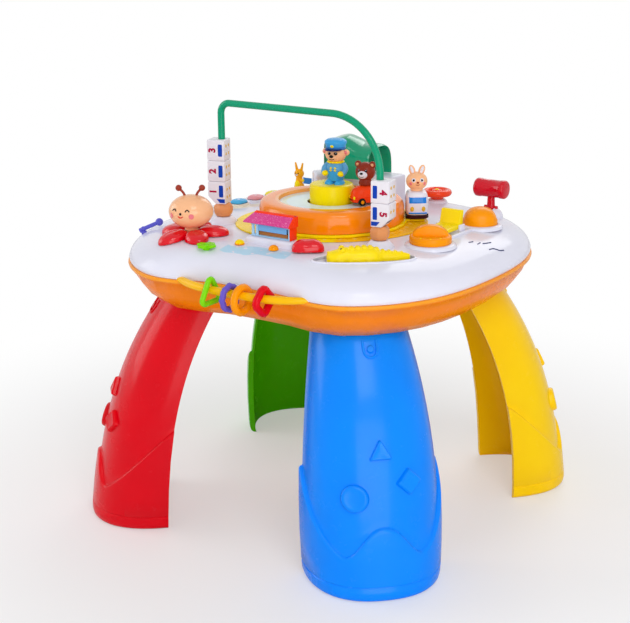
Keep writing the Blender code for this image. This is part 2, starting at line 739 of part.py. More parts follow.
def legEdge(rise):
    bend = LEG_BEND_SHARES[0] * rise + LEG_BEND_SHARES[1] * rise ** 2 + LEG_BEND_SHARES[2] * rise ** 3
    return LEG_FOOT_RADIUS - (LEG_FOOT_RADIUS - LEG_TOP_RADIUS) * bend


def legPoint(height, swing, thin=0.0):
    """A point of the leg's outside in its own frame: X away from the table's middle, Y across."""
    rise = height / LEG_HEIGHT
    half = LEG_FOOT_HALF_WIDTH * (1 + LEG_SWELL_SHARES[0] * rise + LEG_SWELL_SHARES[1] * rise ** 2) - thin
    depth = LEG_FOOT_DEPTH + (LEG_TOP_DEPTH - LEG_FOOT_DEPTH) * rise - thin
    forward = abs(math.cos(swing)) ** LEG_ROUNDNESS_SHARE
    aside = math.copysign(abs(math.sin(swing)) ** LEG_ROUNDNESS_SHARE, swing)
    return Vector((legEdge(rise) + depth * forward, half * aside, height))


def sockHeight(swing):
    """The sock's wavy top edge: high at both sides, a peak in the middle, two valleys."""
    share = abs(swing) / (math.pi / 2)
    if share < 1 / 3:
        mix = (1 - math.cos(math.pi * share * 3)) / 2
        return LEG_SOCK_PEAK_HEIGHT + (LEG_SOCK_VALLEY_HEIGHT - LEG_SOCK_PEAK_HEIGHT) * mix
    mix = (share - 1 / 3) * 3 / 2
    return LEG_SOCK_VALLEY_HEIGHT + (LEG_SOCK_SIDE_HEIGHT - LEG_SOCK_VALLEY_HEIGHT) * mix ** 1.3


def legLoop(heights, thin, sole=0.0):
    """One closed U: the outside from side to side, then the inside back."""
    swings = [math.pi * (step / LEG_COLUMNS - 0.5) for step in range(LEG_COLUMNS + 1)]
    outside = [legPoint(heights(swing), swing, thin(swing)) for swing in swings]
    inside = [legPoint(heights(swing), swing, max(thin(swing), 0) + WALL + sole) for swing in swings]
    return outside + inside[::-1]


def signPlace(height, swing):
    """Frame on the leg's face: Z out of the surface, Y up along it."""
    spot = legPoint(height, swing)
    up = (legPoint(height + SIGN_SIZE, swing) - spot).normalized()
    aside = (legPoint(height, swing + SIGN_SPREAD / 10) - spot).normalized()
    out = up.cross(aside) * -1
    facing = Matrix((aside, up, out)).transposed().to_4x4()
    return Matrix.Translation(spot) @ facing


def leg(name, angle, material):
    rows = [legLoop(lambda swing: 0, lambda swing: LEG_TOE_RADIUS * 0.7 - LEG_SOCK_PROUD,
                    LEG_SOLE_WIDTH - WALL),
            legLoop(lambda swing: LEG_TOE_RADIUS, lambda swing: -LEG_SOCK_PROUD),
            legLoop(lambda swing: LEG_BAND_HEIGHT, lambda swing: -LEG_SOCK_PROUD),
            legLoop(lambda swing: sockHeight(swing) - LEG_SOCK_STEP, lambda swing: -LEG_SOCK_PROUD),
            legLoop(sockHeight, lambda swing: 0)]
    for share in LEG_ROW_SHARES:
        rows.append(legLoop(lambda swing, share=share:
                            sockHeight(swing) + (LEG_HEIGHT - sockHeight(swing)) * share,
                            lambda swing: 0))
    shell = loft(rows)
    swings = [math.pi * (step / LEG_COLUMNS - 0.5) for step in range(LEG_COLUMNS + 1)]
    top = [legPoint(LEG_HEIGHT, swing, WALL / 2) for swing in swings]
    lid = plate([(spot.x, spot.y) for spot in top], LEG_HEIGHT - LEG_PLATE, LEG_HEIGHT)
    plug = block((LEG_TOP_RADIUS + PLUG_DEPTH, -PLUG_WIDTH / 2, LEG_HEIGHT - LEG_PLATE / 2),
                 (LEG_TOP_RADIUS + 2 * PLUG_DEPTH, PLUG_WIDTH / 2, LEG_HEIGHT + PLUG_HEIGHT))
    signs = []
    for sides, height, swing, turn in ((3, TRIANGLE_HEIGHT, 0, math.pi / 2),
                                       (12, CIRCLE_HEIGHT, -SIGN_SPREAD, 0),
                                       (4, SQUARE_HEIGHT, SIGN_SPREAD, 0)):
        outline = [(SIGN_SIZE * math.cos(turn + math.tau * step / sides),
                    SIGN_SIZE * math.sin(turn + math.tau * step / sides)) for step in range(sides)]
        badge = plate(outline, -WALL / 2, SIGN_PROUD, GAP * 3, 0.88)
        signs.append(moved(badge, signPlace(height, swing)))
    mesh = fused([shell, lid, plug] + signs)
    return make(name, moved(mesh, Matrix.Rotation(angle, 4, "Z")), material)


# Turning middle

def track(material):
    outer = oval(TRACK_LENGTH, TRACK_WIDTH, SHELL_SIDES, TRACK_TURN)
    bore = TRAIN_RING_BORE
    inner = [(spot.x, spot.y) for spot in circle(bore, 0, SHELL_SIDES)]
    bottom = DECK_HEIGHT + GAP
    loops = [[Vector((x, y, height)) for x, y in outline]
             for outline, height in ((outer, bottom), (outer, TRACK_TOP), (inner, TRACK_TOP),
                                     (inner, bottom))]
    sockets = [rod((side * ARCH_HALF_SPAN, ARCH_Y, DECK_HEIGHT - OVERRUN),
                   (side * ARCH_HALF_SPAN, ARCH_Y, TRACK_TOP + OVERRUN), SOCKET_RADIUS + GAP,
                   20) for side in (-1, 1)]
    return make("track_plate", cut(loft(loops, ring=True), [together(sockets)]), material)


def trainRing(material):
    points = 2 * TRAIN_RING_SCALLOPS
    loops = []
    for height, inner in ((TRAIN_RING_TOP - TRAIN_RING_THICKNESS, False), (TRAIN_RING_TOP, False),
                          (TRAIN_RING_TOP, True), (TRAIN_RING_TOP - TRAIN_RING_THICKNESS, True)):
        loop = []
        for step in range(points):
            angle = math.tau * step / points
            radius = TRAIN_RING_BORE if inner else TRAIN_RING_RADIUS - TRAIN_RING_SCALLOP * (step % 2)
            loop.append(Vector((radius * math.cos(angle), radius * math.sin(angle), height)))
        loops.append(loop)
    ring = loft(loops, ring=True)
    arm = block((TRAIN_RING_RADIUS - 4 * WALL, -TRAIN_LENGTH / 3, TRAIN_RING_TOP - TRAIN_RING_THICKNESS),
                (TRAIN_PATH_RADIUS + TRAIN_WIDTH / 3, TRAIN_LENGTH / 3, TRAIN_RING_TOP - GAP))
    mesh = combined(ring, moved(arm, Matrix.Rotation(TRAIN_ANGLE, 4, "Z")), "UNION")
    return make("train_ring", mesh, material)


def drum(material):
    floor = DRUM_TOP - DRUM_RECESS
    roof = floor - WALL
    hub_bottom = DECK_HEIGHT - DRUM_HUB_DROP
    rim = DRUM_RIM_RADIUS
    profile = ((DRUM_POST_RADIUS, CAP_TOP - CAP_TRAVEL - 2 * WALL), (DRUM_POST_RADIUS, floor), (rim, floor),
               (rim, DRUM_TOP - WALL / 2), (rim + WALL / 2, DRUM_TOP), (DRUM_RADIUS - 3 * WALL, DRUM_TOP),
               (DRUM_RADIUS - WALL, DRUM_TOP - WALL * 0.8), (DRUM_RADIUS, DRUM_TOP - 3 * WALL),
               (DRUM_RADIUS, DRUM_BOTTOM), (DRUM_RADIUS - WALL, DRUM_BOTTOM),
               (DRUM_RADIUS - WALL, DRUM_TOP - 3 * WALL), (DRUM_RADIUS - 3 * WALL, DRUM_TOP - 2 * WALL),
               (rim + WALL, roof), (DRUM_HUB_RADIUS, roof),
               (DRUM_HUB_RADIUS, hub_bottom), (DRUM_HUB_RADIUS - WALL, hub_bottom),
               (DRUM_HUB_RADIUS - WALL, roof))
    return make("drum", turned(profile, DRUM_SIDES), material)


def retainer(material):
    top = DECK_HEIGHT - DRUM_HUB_DROP - GAP
    profile = ((DRUM_HUB_RADIUS - 2 * WALL, top), (RETAINER_RADIUS, top), (RETAINER_RADIUS, top - WALL / 2),
               (DRUM_HUB_RADIUS - 2 * WALL, top - WALL / 2))
    return make("drum_retainer", turned(profile, 20, ring=True), material)


def drumDisc(material):
    top = DRUM_TOP - DISC_DROP
    outer = DRUM_RIM_RADIUS - GAP
    bore = CAP_RADIUS + GAP
    floor = DRUM_TOP - DRUM_RECESS + GAP
    profile = ((bore, top), (outer, top), (outer, floor), (outer - WALL, floor),
               (outer - WALL, top - DISC_THICKNESS), (bore, top - DISC_THICKNESS))
    return make("drum_disc", turned(profile, DRUM_SIDES, ring=True), material)


def centreCap(material):
    bottom = DRUM_TOP - DRUM_RECESS + CAP_TRAVEL + GAP
    sleeve = DRUM_POST_RADIUS + GAP
    roof = CAP_TOP - WALL
    profile = ((CAP_RADIUS - WALL, CAP_TOP), (CAP_RADIUS - WALL * 0.3, CAP_TOP - WALL * 0.3),
               (CAP_RADIUS, CAP_TOP - WALL), (CAP_RADIUS, bottom), (CAP_RADIUS - WALL, bottom),
               (CAP_RADIUS - WALL, roof), (sleeve + WALL / 2, roof), (sleeve + WALL / 2, bottom + WALL),
               (sleeve, bottom + WALL), (sleeve, roof + GAP))
    return make("centre_cap", turned(profile, 24), material, (0, 0, CAP_TOP))


def figure(x, y, ground, facing, hat):
    """A small standing toy animal: feet, body, arms, head, round ears and an optional peaked cap."""
    size = FIGURE_SIZE
    parts = [ball((0, 0, size * 1.45), (size * 0.95, size * 0.8, size * 1.3), 10, 6)]
    for side in (-1, 1):
        parts.append(mound((side * size * 0.5, -size * 0.25, 0), (size * 0.55, size * 0.75, size * 0.55),
                           sides=8))
        parts.append(ball((side * size * 0.95, -size * 0.35, size * 1.35),
                          (size * 0.35, size * 0.4, size * 0.6), 6, 5))
        parts.append(ball((side * size * 0.98, 0, size * 3.45), (size * 0.36, size * 0.25, size * 0.36), 6,
                          5))
    parts.append(ball((0, 0, size * 3.25), (size, size * 0.92, size * 0.95), 12, 8))
    parts.append(ball((0, -size * 0.8, size * 3.0), (size * 0.45, size * 0.35, size * 0.35), 6, 5))
    if hat:
        parts.append(turned(((size * 0.85, size * 3.75), (size * 0.95, size * 4.2),
                             (size * 1.05, size * 4.65),
                             (size * 0.7, size * 4.95)), 12))
        parts.append(mound((0, -size * 0.65, size * 3.8), (size * 0.85, size * 0.85, size * 0.2), sides=10))
    mesh = fused(parts)
    broad = Matrix.Diagonal((FIGURE_BREADTH_SHARE, FIGURE_BREADTH_SHARE, 1, 1))
    return moved(mesh, Matrix.Translation((x, y, ground)) @ Matrix.Rotation(facing, 4, "Z") @ broad)


def car(material):
    ground = DRUM_TOP - DISC_DROP + GAP
    body = mound((0, 0, ground + CAR_HEIGHT / 5), (CAR_LENGTH / 2, CAR_WIDTH / 2, CAR_HEIGHT * 0.8),
                 sides=14,
                 skirt=CAR_HEIGHT / 10)
    wheels = [rod((along * CAR_LENGTH / 4, -CAR_WIDTH / 2, ground + CAR_HEIGHT / 5),
                  (along * CAR_LENGTH / 4, CAR_WIDTH / 2, ground + CAR_HEIGHT / 5), CAR_HEIGHT / 5, 10)
              for along in (-1, 1)]
    mesh = fused([body] + wheels)
    place = Matrix.Translation((CAR_X, CAR_Y, 0)) @ Matrix.Rotation(CAR_TURN, 4, "Z")
    return make("car", moved(mesh, place), material)


def carBear(material):
    roof = DRUM_TOP - DISC_DROP + CAR_HEIGHT + 2 * GAP
    size = BEAR_HEAD
    parts = [rod((0, 0, roof), (0, 0, roof + size * 0.6), size * 0.6, 10),
             ball((0, 0, roof + size * 1.3), (size, size * 0.92, size * 0.95), 12, 8),
             ball((0, -size * 0.8, roof + size * 1.1), (size * 0.5, size * 0.4, size * 0.4), 8, 6)]
    for side in (-1, 1):
        parts.append(ball((side * size * 0.75, 0, roof + size * 2), (size * 0.35, size * 0.25, size * 0.35),
                          8, 6))
    place = Matrix.Translation((CAR_X, CAR_Y, 0)) @ Matrix.Rotation(FACING, 4, "Z")
    return make("car_bear", moved(fused(parts), place), material)


def trainPlace():
    return Matrix.Rotation(TRAIN_ANGLE, 4, "Z") @ Matrix.Translation((TRAIN_PATH_RADIUS, 0, 0))


def trainPieces(dark, white, peach):
    low = TRAIN_RING_TOP
    half_width = TRAIN_WIDTH / 2
    half_length = TRAIN_LENGTH / 2
    chassis = block((-half_width + WALL / 3, -half_length + WALL / 3, low),
                    (half_width - WALL / 3, half_length - WALL / 3, low + CHASSIS_HEIGHT), GAP * 2)
    make("train_chassis", moved(chassis, trainPlace()), dark)
    bottom = low + CHASSIS_HEIGHT + GAP
    height = TRAIN_ROOF - bottom
    loops = []
    for rise, share in ((0, 0.94), (0.08, 1.0), (0.55, 0.97), (0.80, 0.90), (0.93, 0.76), (1.0, 0.55)):
        loop = []
        for spot in circle(1, 0, 16):
            x = math.copysign(abs(spot.x) ** 0.45, spot.x) * half_width * share
            y = math.copysign(abs(spot.y) ** 0.45, spot.y) * half_length * share
            loop.append(Vector((x, y, bottom + height * rise)))
        loops.append(loop)
    make("train_body", moved(loft(loops), trainPlace()), white)
    size = RABBIT_HEAD
    neck = TRAIN_ROOF + GAP
    middle = neck + size * 0.88
    parts = [rod((0, 0, neck), (0, 0, middle), size * 0.5, 12),
             ball((0, 0, middle), (size * 1.02, size, size * 0.88), 12, 8)]
    ear = (RABBIT_EAR_TOP - middle - size * 0.5) / 2
    for side in (-1, 1):
        parts.append(ball((side * size * 0.42, 0, RABBIT_EAR_TOP - ear), (size * 0.27, size * 0.2, ear), 8,
                          6))
    make("rabbit", moved(fused(parts), trainPlace()), peach)


def tunnel(material):
    steps = len(TUNNEL_HEIGHT_SHARES) - 1
    foot = BANK_TOP + GAP
    middle = (TUNNEL_INNER_RADIUS + TUNNEL_OUTER_RADIUS) / 2
    loops = []
    for step, share in enumerate(TUNNEL_HEIGHT_SHARES):
        angle = TUNNEL_END + (TUNNEL_START - TUNNEL_END) * step / steps
        away = Vector((math.cos(angle), math.sin(angle), 0))
        loop = []
        for thin, order in ((0.0, range(11)), (WALL, range(10, -1, -1))):
            half = (TUNNEL_OUTER_RADIUS - TUNNEL_INNER_RADIUS) / 2 - thin
            rise = (TUNNEL_SUMMIT - foot) * share - thin
            for spot in order:
                lean = math.pi * spot / 10
                along = math.copysign(abs(math.cos(lean)) ** TUNNEL_ROUNDNESS_SHARE, -math.cos(lean))
                lift = abs(math.sin(lean)) ** TUNNEL_ROUNDNESS_SHARE
                loop.append(away * (middle + half * along) + Vector((0, 0, foot + rise * lift)))
        loops.append(loop)
    return make("tunnel", loft(loops), material)


# Bead arch

def archPoints():
    bottom = DECK_HEIGHT - WALL - GAP
    points = [(-ARCH_HALF_SPAN, bottom)]
    for step in range(5):
        angle = math.pi - math.pi / 2 * step / 4
        points.append((-ARCH_HALF_SPAN + ARCH_LEFT_BEND * (1 + math.cos(angle)),
                       ARCH_TOP - ARCH_LEFT_BEND * (1 - math.sin(angle))))
    for step in range(8):
        angle = math.pi / 2 - math.pi / 2 * step / 7
        points.append((ARCH_HALF_SPAN - ARCH_RIGHT_BEND * (1 - math.cos(angle)),
                       ARCH_TOP - ARCH_RIGHT_BEND * (1 - math.sin(angle))))
    points.append((ARCH_HALF_SPAN, bottom))
    return [Vector((x, ARCH_Y, z)) for x, z in points]


def archSocket(x):
    """A white cone of the deck that an end of the arch stands in."""
    return turned(((SOCKET_RADIUS, DECK_HEIGHT - WALL / 2), (SOCKET_RADIUS, DECK_HEIGHT),
                   (SOCKET_RADIUS * 0.94, DECK_HEIGHT + SOCKET_HEIGHT * 0.35),
                   (SOCKET_RADIUS * 0.62, DECK_HEIGHT + SOCKET_HEIGHT)), 14, (x, ARCH_Y))


def beadBore(x, low, high):
    return rod((x, ARCH_Y, low - OVERRUN), (x, ARCH_Y, high + OVERRUN), ARCH_TUBE_RADIUS + BEAD_CLEARANCE,
               12)


def hexBead(name, x, low, material):
    high = low + HEX_BEAD_HEIGHT
    body = turned(((HEX_BEAD_RADIUS * 0.72, low), (HEX_BEAD_RADIUS, low + HEX_BEAD_HEIGHT * 0.45),
                   (HEX_BEAD_RADIUS * 0.95, low + HEX_BEAD_HEIGHT * 0.8), (HEX_BEAD_RADIUS * 0.72, high)),
                  6, (x, ARCH_Y))
    return make(name, cut(body, [beadBore(x, low, high)]), material, (x, ARCH_Y, low))


def trainBlock(name, side, low, nose, material):
    """A carriage of the bead train; the nose slants away from the arch on its outer side."""
    high = low + (NOSE_HEIGHT if nose else BLOCK_HEIGHT)
    half = BLOCK_SIZE / 2
    edge = GAP * 3
    slant = NOSE_SLANT if nose else edge
    outline = [(-half, low), (half - slant, low), (half, low + slant), (half, high - edge),
               (half - edge, high),
               (-half + edge, high), (-half, high - edge)]
    loops = [[Vector((side * (across + BLOCK_OFFSET), ahead, height)) for across,
              height in outline] for ahead in (-half, half)]
    x = side * ARCH_HALF_SPAN
    place = Matrix.Translation((x, ARCH_Y, 0)) @ Matrix.Rotation(BLOCK_TURNS[side], 4, "Z")
    return make(name, cut(moved(loft(loops), place), [beadBore(x, low, high)]), material, (x, ARCH_Y, low))


def beads(white, wood):
    low = DECK_HEIGHT + SOCKET_HEIGHT + GAP
    hexBead("hex_bead_left", -ARCH_HALF_SPAN, low, wood)
    hexBead("hex_bead_right", ARCH_HALF_SPAN, low, wood)
    first = low + HEX_BEAD_HEIGHT + GAP
    second = first + NOSE_HEIGHT + GAP
    third = second + BLOCK_HEIGHT + GAP
    trainBlock("block_1", -1, first, True, white)
    trainBlock("block_2", -1, second, False, white)
    trainBlock("block_3", -1, third, False, white)
    trainBlock("block_4", 1, second, False, white)
    trainBlock("block_5", 1, first, True, white)


# Station

def station(house_material, roof_material):
    ground = DECK_HEIGHT + PLINTH_HEIGHT + GAP
    eaves = STATION_EAVES
    house = block((STATION_LEFT, STATION_FRONT, ground), (STATION_RIGHT, STATION_BACK, eaves))
    porch = block((STATION_LEFT + STATION_WALL, STATION_FRONT - OVERRUN, ground + WALL),
                  (STATION_RIGHT - STATION_WALL, STATION_BACK - STATION_WALL, eaves - WALL))
    bench = block((STATION_LEFT + 2 * STATION_WALL, STATION_FRONT + STATION_WALL, ground + WALL / 2),
                  (STATION_RIGHT - 2 * STATION_WALL, STATION_BACK - STATION_WALL / 2,
                   ground + WALL / 2 + BENCH_HEIGHT))
    make("station_house", fused([cut(house, [porch]), bench]), house_material)
    low = eaves + GAP
    front = STATION_FRONT - ROOF_OVERHANG
    left = STATION_LEFT - 2 * ROOF_OVERHANG
    right = STATION_RIGHT + ROOF_OVERHANG / 2
    eaves_loop = [Vector((left, front, low)), Vector((right, front, low)),
                  Vector((right, STATION_BACK, low)),
                  Vector((left, STATION_BACK, low))]
    ridge_inset = 2 * ROOF_OVERHANG
    edge_loop = [point + Vector((0, 0, WALL / 2)) for point in eaves_loop]
    ridge_loop = [Vector((left + ridge_inset, front + ridge_inset, STATION_RIDGE)),
                  Vector((right - ridge_inset, front + ridge_inset, STATION_RIDGE)),
                  Vector((right - ridge_inset, STATION_BACK - WALL / 2, STATION_RIDGE)),
                  Vector((left + ridge_inset, STATION_BACK - WALL / 2, STATION_RIDGE))]
    make("station_roof", loft([eaves_loop, edge_loop, ridge_loop]), roof_material)


# Bee, clover, lever

def petals(material):
    parts = []
    for step in range(PETAL_COUNT):
        angle = PETAL_FIRST_ANGLE + math.tau * step / PETAL_COUNT
        centre = (BEE_X + PETAL_DISTANCE * math.cos(angle), BEE_Y + PETAL_DISTANCE * math.sin(angle),
                  DECK_HEIGHT + SLOPE_GAP)
        parts.append(mound(centre, (PETAL_LENGTH, PETAL_WIDTH, PETAL_HEIGHT), angle, 10))
    parts.append(turned(((BEE_NECK_RADIUS * 1.7, DECK_HEIGHT + SLOPE_GAP),
                         (BEE_NECK_RADIUS * 1.7, DECK_HEIGHT + WALL)),
                        16, (BEE_X, BEE_Y)))
    throat = BEE_NECK_RADIUS + WALL / 3
    well = turned(((throat, DECK_HEIGHT + WALL), (throat, DECK_HEIGHT + 2 * PETAL_HEIGHT)), 16,
                  (BEE_X, BEE_Y))
    bore = rod((BEE_X, BEE_Y, DECK_HEIGHT - WALL), (BEE_X, BEE_Y, DECK_HEIGHT + 2 * WALL),
               STEM_RADIUS + GAP, 10)
    mesh = cut(fused(parts), [well, bore])
    return make("bee_petals", draped(mesh), material)


def bee(peach):
    neck_low = DECK_HEIGHT + WALL + GAP
    pivot = (BEE_X, BEE_Y, DECK_HEIGHT + WALL)
    head = ball((BEE_X, BEE_Y, BEE_HEAD_HEIGHT), BEE_HEAD_RADII, 16, 10, BEE_TURN)
    neck = rod((BEE_X, BEE_Y, neck_low + GAP), (BEE_X, BEE_Y, BEE_HEAD_HEIGHT), BEE_NECK_RADIUS, 10)
    across = Vector((math.cos(BEE_TURN), math.sin(BEE_TURN), 0))
    middle = Vector((BEE_X, BEE_Y, 0))
    parts = []
    for side in (-1, 1):
        base = middle + across * side * ANTENNA_SPREAD * 0.45
        base.z = BEE_HEAD_HEIGHT + BEE_HEAD_RADII[2] * 0.8
        top = middle + across * side * ANTENNA_SPREAD
        top.z = ANTENNA_TOP
        parts.append(rod(base, top, ANTENNA_RADIUS * 1.3, 6, ANTENNA_RADIUS))
        parts.append(ball(top, (ANTENNA_BALL, ANTENNA_BALL, ANTENNA_BALL), 8, 6))
    make("bee_head", fused([head, neck, stem(BEE_X, BEE_Y, BEE_HEAD_HEIGHT)] + parts), peach, pivot)


def clover(material):
    low = DECK_HEIGHT + SLOPE_GAP
    parts = [plate(oval(CLOVER_RADIUS * 1.1, CLOVER_RADIUS * 0.95, 10, step * math.pi / 2 + math.pi / 4,
                        (CLOVER_X + CLOVER_RADIUS * 0.52 * math.cos(step * math.pi / 2),
                         CLOVER_Y + CLOVER_RADIUS * 0.52 * math.sin(step * math.pi / 2))), low,
                   low + CLOVER_THICKNESS,
                   GAP * 3, 0.9) for step in range(4)]
    lift = uphill(CLOVER_X, CLOVER_Y, CLOVER_RADIUS) - DECK_HEIGHT
    mesh = fused(parts + [stem(CLOVER_X, CLOVER_Y, low + CLOVER_THICKNESS / 2)])
    place = Matrix.Translation((0, 0, lift))
    return make("clover", moved(mesh, place), material, (CLOVER_X, CLOVER_Y, DECK_HEIGHT))


def lever(material):
    ground = deckHeight(LEVER_X, LEVER_Y)
    pivot = Vector((LEVER_X, LEVER_Y, ground + LEVER_BALL + SLOPE_GAP))
    along = Vector((math.cos(LEVER_ANGLE), math.sin(LEVER_ANGLE), 0.45))
    tip = pivot + along * LEVER_LENGTH * 0.8
    arm = rod(pivot - along * LEVER_BALL, tip, LEVER_RADIUS, 8)
    shank = rod(pivot - Vector((0, 0, LEVER_BALL + 3 * WALL)), pivot, LEVER_RADIUS, 8)
    knob = ball(tip, (LEVER_BALL, LEVER_BALL, LEVER_BALL), 10, 8)
    return make("lever", fused([arm, shank, knob]), material, pivot)


# Toys of the deck

def bean(material):
    low = DECK_HEIGHT + GAP
    mesh = mound((0, 0, low), (BEAN_LENGTH / 2, BEAN_WIDTH / 2, BEAN_HEIGHT), 0, 18)
    bend = BEAN_WIDTH / 5
    for vertex in mesh.verts:
        vertex.co.y += bend * (1 - (vertex.co.x / (BEAN_LENGTH / 2)) ** 2) - bend / 2
    mesh = moved(mesh, Matrix.Translation((BEAN_X, BEAN_Y, BUTTON_TRAVEL)) @ Matrix.Rotation(BEAN_ANGLE, 4,
                                                                                             "Z"))
    mesh = fused([mesh, stem(BEAN_X, BEAN_Y, low + BUTTON_TRAVEL + WALL)])
    return make("bean_button", mesh, material, (BEAN_X, BEAN_Y, low))


def lamp(name, x, material):
    ground = uphill(x, LAMP_Y, LAMP_RADIUS)
    low = ground + SLOPE_GAP
    lens = mound((x, LAMP_Y, low), (LAMP_RADIUS, LAMP_RADIUS, LAMP_RADIUS * 0.8), sides=10)
    shank = rod((x, LAMP_Y, ground - 2 * WALL), (x, LAMP_Y, low + WALL / 2), LAMP_RADIUS / 2, 8)
    return make(name, fused([lens, shank]), material)


def crocodile(material):
    low = DECK_HEIGHT - RECESS_DEPTH + BUTTON_TRAVEL + GAP
    loops = []
    for along, width, height in CROC_SHARES:
        loop = []
        for step in range(9):
            angle = math.pi * step / 8
            loop.append(Vector((along * CROC_LENGTH, CROC_HALF_WIDTH * width * math.cos(angle),
                                low + WALL / 2 + CROC_HEIGHT * height * math.sin(angle) ** 0.8)))
        loop.append(Vector((along * CROC_LENGTH, -CROC_HALF_WIDTH * width, low)))
        loop.append(Vector((along * CROC_LENGTH, CROC_HALF_WIDTH * width, low)))
        loops.append(loop)
    place = Matrix.Translation((CROC_X, CROC_Y, 0)) @ Matrix.Rotation(CROC_ANGLE, 4, "Z")
    body = moved(loft(loops), place @ Matrix.Translation((CROC_SHIFT, 0, 0)))
    mesh = fused([body, rod((CROC_X, CROC_Y, low - 4 * WALL), (CROC_X, CROC_Y, low + WALL), STEM_RADIUS)])
    return make("crocodile", mesh, material, (CROC_X, CROC_Y, low))


def knob(material):
    low = DECK_HEIGHT + COLLAR_HEIGHT + GAP
    high = low + KNOB_DISC_HEIGHT
    disc = turned(((KNOB_RADIUS, low), (KNOB_RADIUS, high - WALL / 2), (KNOB_RADIUS * 0.96, high - WALL / 6),
                   (KNOB_RADIUS * 0.88, high)), 20, (KNOB_X, KNOB_Y))
    half = KNOB_RADIUS * 0.86
    loops = []
    for ahead in (-KNOB_GRIP_WIDTH / 2, KNOB_GRIP_WIDTH / 2):
        loop = []
        for step in range(9):
            angle = math.pi * step / 8
            loop.append(Vector((half * math.cos(angle), ahead,
                                high - WALL / 2 + (KNOB_GRIP_HEIGHT - KNOB_DISC_HEIGHT + WALL / 2) * math.sin(angle))))
        loops.append(loop)
    place = Matrix.Translation((KNOB_X, KNOB_Y, 0)) @ Matrix.Rotation(KNOB_TURN, 4, "Z")
    mesh = fused([disc, moved(loft(loops), place), stem(KNOB_X, KNOB_Y, low + WALL)])
    return make("knob", mesh, material, (KNOB_X, KNOB_Y, low))


def domeButton(material):
    low = DECK_HEIGHT - WALL + GAP
    ledge = DECK_HEIGHT + DOME_COLLAR_HEIGHT
    mesh = mound((DOME_X, DOME_Y, ledge), (DOME_BUTTON_RADIUS, DOME_BUTTON_RADIUS, DOME_BUTTON_TOP - ledge),
                 0, 20,
                 ledge - low)
    return make("dome_button", mesh, material, (DOME_X, DOME_Y, low))


def seatRocker(material):
    """Two flaps in a shallow V that tip about a pin through their crease."""
    axis = seatAxis()
    half = SEAT_WIDTH / 2
    thick = SEAT_THICKNESS
    side = ((-SEAT_REACH, -thick / 2), (-SEAT_REACH, thick / 4), (-thick / 2, thick),
            (thick / 2, SEAT_BACK_HEIGHT - thick),
            (2 * thick, SEAT_BACK_HEIGHT - thick), (1.5 * thick, 0), (0, -thick / 2))
    loops = [[Vector((SEAT_X + across, SEAT_Y + ahead, axis + rise)) for ahead, rise in side]
             for across in (-half, half)]
    pin = rod((SEAT_X - half - EAR_THICKNESS, SEAT_Y, axis), (SEAT_X + half + EAR_THICKNESS, SEAT_Y, axis),
              SEAT_PIN_RADIUS)
    return make("seat_rocker", fused([loft(loops), pin]), material, (SEAT_X, SEAT_Y, axis))


def mallet(material):
    axis = malletAxis()
    head_half = MALLET_HEAD_LENGTH / 2
    radius = MALLET_HEAD_RADIUS
    head = turned(((radius * 0.86, -head_half), (radius, -head_half * 0.92), (radius, head_half * 0.92),
                   (radius * 0.86, head_half)), 14)
    head = moved(head,
                 Matrix.Translation((MALLET_X, MALLET_Y, MALLET_HEAD_HEIGHT)) @ Matrix.Rotation(math.pi / 2,
                                                                                                4, "Y"))
    handle = rod((MALLET_X, MALLET_Y, axis), (MALLET_X, MALLET_Y, MALLET_HEAD_HEIGHT), MALLET_HANDLE_RADIUS,
                 12)
    knuckle = ball((MALLET_X, MALLET_Y, axis), [MALLET_HANDLE_RADIUS - GAP / 2] * 3)
    pin = rod((MALLET_X - 2 * MALLET_HANDLE_RADIUS, MALLET_Y, axis),
              (MALLET_X + 2 * MALLET_HANDLE_RADIUS, MALLET_Y, axis),
              MALLET_PIN_RADIUS)
    return make("mallet", fused([head, handle, knuckle, pin]), material, (MALLET_X, MALLET_Y, axis))


def steeringWheel(material):
    rim = tube([(WHEEL_X + spot.x, WHEEL_Y + spot.y,
                 WHEEL_HEIGHT) for spot in circle(WHEEL_RADIUS - WHEEL_TUBE, 0, 20)],
               WHEEL_TUBE, 6, True)
    low = WHEEL_HEIGHT - 2 * WHEEL_TUBE + GAP
    hub = turned(((WHEEL_COLUMN_RADIUS, low), (WHEEL_COLUMN_RADIUS, WHEEL_HEIGHT),
                  (WHEEL_COLUMN_RADIUS * 0.6,
                  WHEEL_HEIGHT + WHEEL_TUBE)), 10, (WHEEL_X, WHEEL_Y))
    spokes = []
    for step in range(3):
        angle = math.tau * step / 3 + math.pi / 6
        reach = WHEEL_RADIUS - WHEEL_TUBE
        spokes.append(rod((WHEEL_X, WHEEL_Y, WHEEL_HEIGHT), (WHEEL_X + reach * math.cos(angle),
                          WHEEL_Y + reach * math.sin(angle), WHEEL_HEIGHT), WHEEL_TUBE * 0.7, 6))
    shank = rod((WHEEL_X, WHEEL_Y, DECK_HEIGHT - 2 * WALL), (WHEEL_X, WHEEL_Y, WHEEL_HEIGHT), STEM_RADIUS)
    return make("steering_wheel", fused([rim, hub, shank] + spokes), material,
                (WHEEL_X, WHEEL_Y, WHEEL_HEIGHT))


def keys(materials):
    low = DECK_HEIGHT + SLOPE_GAP + BUTTON_TRAVEL
    for index, ((x, y), material) in enumerate(zip(keyPlaces(), materials)):
        dome = mound((x, y, low), (KEY_WIDTH / 2, KEY_LENGTH / 2, KEY_HEIGHT - BUTTON_TRAVEL), 0, 10)
        mesh = fused([dome, stem(x, y, low + WALL / 2)])
        make("music_key_%d" % (index + 1), mesh, material, (x, y, low))


